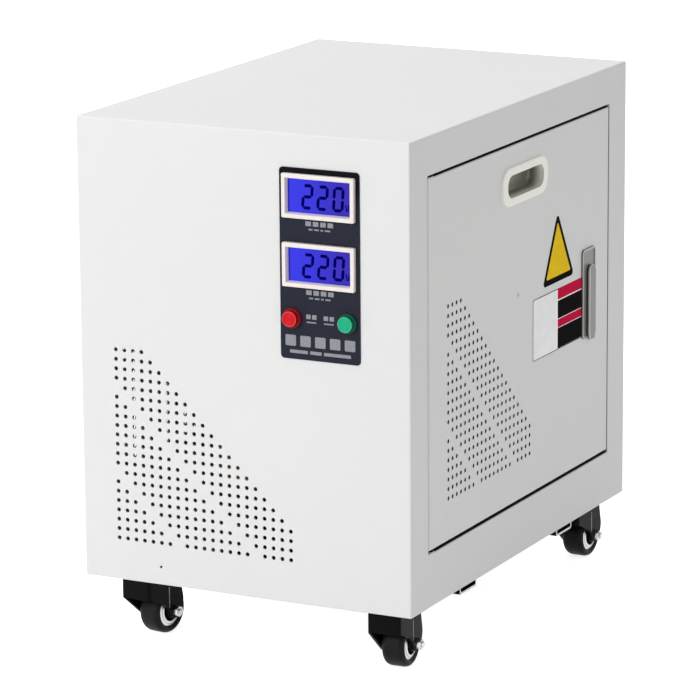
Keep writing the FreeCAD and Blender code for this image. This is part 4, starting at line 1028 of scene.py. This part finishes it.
def pressed_wall(plan, normals):
    """Four corners of the sheet at each station: outer high, outer low, inner low, inner high."""
    narrow = np.interp(plan[:, 1], LOW_EDGE[:, 0], LOW_EDGE[:, 1])
    full = np.interp(plan[:, 1], FULL_EDGE[:, 0], FULL_EDGE[:, 1])
    low = np.where(plan[:, 0] > 0, narrow, full)
    high = np.interp(plan[:, 1], HIGH_EDGE[:, 0], HIGH_EDGE[:, 1])
    inner = plan - normals * FORK_WALL
    section = np.stack([np.column_stack([plan, high]), np.column_stack([plan, low]),
                        np.column_stack([inner, low]), np.column_stack([inner, high])], axis=1)
    ends = [np.broadcast_to(section[i].mean(axis=0), (1, 4, 3)) for i in (0, -1)]
    return np.concatenate([ends[0], section, ends[1]])


fork_sheet = pressed_wall(*fork_stations())
crown_corners = [(-FORK_SIDE, -FORK_FRONT), (FORK_SIDE, -FORK_FRONT), (FORK_SIDE, CROWN_REAR),
                 (-FORK_SIDE, CROWN_REAR)]
crown = plate_grid(rounded(crown_corners, [FORK_BEND, FORK_BEND, 0.008, 0.008], 8),
                   CROWN_TOP - FORK_WALL, CROWN_TOP, 0.0012)
crease = plate_grid(rectangle(*CREASE_SIZE, 0.0006, 4), -0.0002, 0.00006, 0.00004)
# painted highlight: grey strips laid on the crease of each leg
crease_highlight = Finish("painted_crease_highlight", (0.24, 0.235, 0.235), 0.45, 0.2)
crease_highlight.mottle(crease_highlight.noise(0.006).smooth(0.35, 0.65), 0.6)
for corner in CORNERS:
    along = axle_direction(corner)
    swivel = joints[corner + "_swivel_turn"]["pos_m"]
    standing = Plane((swivel[0], swivel[1], 0.0), along, np.cross((0, 0, 1), along), (0, 0, 1))
    body = corner + "_swivel"
    piece = make_piece(corner + "_fork", [standing.at(fork_sheet), standing.at(crown)], black_steel, body,
                       "caster_black", sharp=28.0)
    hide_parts(corner + "_caster_fork")
    for side, name in ((-1, "_painted_highlight_left"), (1, "_painted_highlight_right")):
        leg_face = facing(standing.at((side * FORK_SIDE, *CREASE_PLACE)), side * along)
        make_piece(corner + name, [leg_face.at(crease)], crease_highlight, body, "caster_black")

# %% [markdown]
# ## Axles and nuts
#
# A zinc bolt runs through the legs and the wheel. Its head, its nut and the threaded end are
# one surface here: a row of sections along the axle, some round and some six-sided. The
# corners of the hexagons are turned off at both ends, as on every nut.

# %% Axle bolts
NUT_FLATS = 0.0106
NUT_START = FORK_SIDE
NUT_END = 0.0234
BOLT_RADIUS = 0.0038
COLLAR_RADIUS = 0.0062
THREAD_RADIUS = 0.0030


def section_radius(angle, flats, limit):
    """Hexagon's radius, (flats / 2) / cos(angle from the flat's middle), cut to a limit."""
    from_flat = (angle + np.pi / 6) % (np.pi / 3) - np.pi / 6
    return np.minimum(flats / 2 / np.cos(from_flat), limit)


def axle_grid(count=96):
    """Sections along the axle: height, width across flats, and the largest radius."""
    wide = NUT_FLATS * 0.58
    half = [(0.0, 1.0, BOLT_RADIUS), (NUT_START - 0.0016, 1.0, BOLT_RADIUS),
            (NUT_START - 0.0016, 1.0, COLLAR_RADIUS), (NUT_START - 0.0002, 1.0, COLLAR_RADIUS),
            (NUT_START - 0.0002, NUT_FLATS, NUT_FLATS * 0.50), (NUT_START + 0.0006, NUT_FLATS, wide),
            (NUT_END - 0.0008, NUT_FLATS, wide), (NUT_END, NUT_FLATS, NUT_FLATS * 0.49),
            (NUT_END, 1.0, THREAD_RADIUS), (NUT_END + 0.0015, 1.0, THREAD_RADIUS),
            (NUT_END + 0.0020, 1.0, 0.0024), (NUT_END + 0.0020, 1.0, 0.0)]
    angle = np.linspace(0, 2 * np.pi, count, endpoint=False)
    rows = []
    for height, flats, limit in [(-h, f, r) for h, f, r in half[:0:-1]] + half:
        radius = section_radius(angle, flats, limit)
        rows.append(level(np.column_stack([radius * np.cos(angle), radius * np.sin(angle)]), height))
    return np.stack(rows)


for corner in CORNERS:
    piece = make_piece(corner + "_axle_bolt", [axles[corner].at(axle_grid())], zinc, corner + "_swivel",
                       "zinc_steel", sharp=30.0)
    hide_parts(corner + "_caster_axle")

# %% [markdown]
# ## The transformer inside
#
# Open a door and the working part shows: a stack of thin steel sheets, two coils on each
# leg, laminate blocks and enamelled clamps. The core's edges show its sheets as fine lines,
# so the bump is a wave across the stack. The coils are real ridges, one for each turn.

# %% Core, clamps and blocks
core_skin = Finish("core_laminations", (0.060, 0.062, 0.066), 0.42, 0.6)
sheet_line = core_skin.node("ShaderNodeTexWave", {"wave_type": "BANDS", "bands_direction": "X"},
                            {"Vector": core_skin.place(), "Scale": 320.0, "Distortion": 0.4}, "Fac")
core_skin.bump(sheet_line, 0.00012)
core_skin.mottle(core_skin.noise(0.05, detail=5.0, scale=(8.0, 1.0, 1.0)).smooth(0.3, 0.7), 0.45)
dress(core_skin, "transformer_core")

clamp_skin = Finish("clamp_enamel", (0.05, 0.055, 0.065), 0.35, coat_weight=0.3)
clamp_skin.bump(clamp_skin.noise(0.003), 0.00004)
dress(clamp_skin, "left_lower_clamp", "left_upper_clamp", "right_lower_clamp", "right_upper_clamp")

block_skin = Finish("pressed_laminate", (0.42, 0.27, 0.12), 0.55)
layers = block_skin.noise(0.0012, detail=3.0, scale=(0.1, 0.1, 1.0))
block_skin.mottle(layers.smooth(0.3, 0.7), 0.35)
block_skin.bump(layers, 0.00005)
dress(block_skin, "winding_blocks")

# %% Sleeves on the leads
sleeve = Finish("lead_sleeve", (0.40, 0.035, 0.02), 0.55)
sleeve.bump(sleeve.noise(0.0006, detail=2.0), 0.00003)
sleeve.mottle(sleeve.noise(0.01).smooth(0.3, 0.7), 0.15)
dress(sleeve, "winding_leads")

# %% Wound coils
TURN_ROWS = 6
TURN_DEPTH_SHARE = 0.28
COLLAR = 0.006


def coil_grid(low, high, thickness, corner, pitch):
    """Rounded-rectangle ring with one rib per turn on its outside.

    The groove between ribs is share * pitch * (1 - |sin(pi * h / pitch)|), and the ends stay plain.
    """
    centre = np.array([(low[0] + high[0]) / 2, (low[1] + high[1]) / 2])
    size = np.array([high[0] - low[0], high[1] - low[1]])
    outer = rectangle(size[0], size[1], corner, 12)
    turns = int((high[2] - low[2] - 2 * COLLAR) / pitch)
    span = turns * pitch
    start = (low[2] + high[2] - span) / 2
    heights = start + np.linspace(0, span, turns * TURN_ROWS + 1)
    depth = TURN_DEPTH_SHARE * pitch * (1 - np.abs(np.sin(np.pi * (heights - start) / pitch)))
    rows = [(low[2], thickness), (low[2], 0.0), (start - 0.0002, 0.0)]
    rows += list(zip(heights, depth))
    rows += [(start + span + 0.0002, 0.0), (high[2], 0.0), (high[2], thickness)]
    return np.stack([level(inset(outer, amount) + centre, height) for height, amount in rows])


enamel = Finish("enamelled_copper", (0.42, 0.12, 0.035), 0.30, 0.75)
enamel.mottle(enamel.noise(0.02, detail=4.0, scale=(1.0, 1.0, 12.0)).smooth(0.3, 0.7), 0.30)
paper = Finish("varnished_paper", (0.55, 0.34, 0.10), 0.42, coat_weight=0.35)
paper.mottle(paper.noise(0.015, detail=5.0, scale=(1.0, 1.0, 8.0)).smooth(0.25, 0.75), 0.35)
for leg in ("front", "rear"):
    for layer, finish, pitch, thickness, corner in (("inner", enamel, 0.0045, 0.016, 0.026),
                                                    ("outer", paper, 0.0032, 0.020, 0.041)):
        node = leg + "_" + layer + "_winding"
        low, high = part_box(node)
        coil = make_piece(leg + "_" + layer + "_coil", [coil_grid(low, high, thickness, corner, pitch)],
                          finish, "cabinet", "winding_" + layer, close_rows=True, sharp=60.0)
        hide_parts(node)
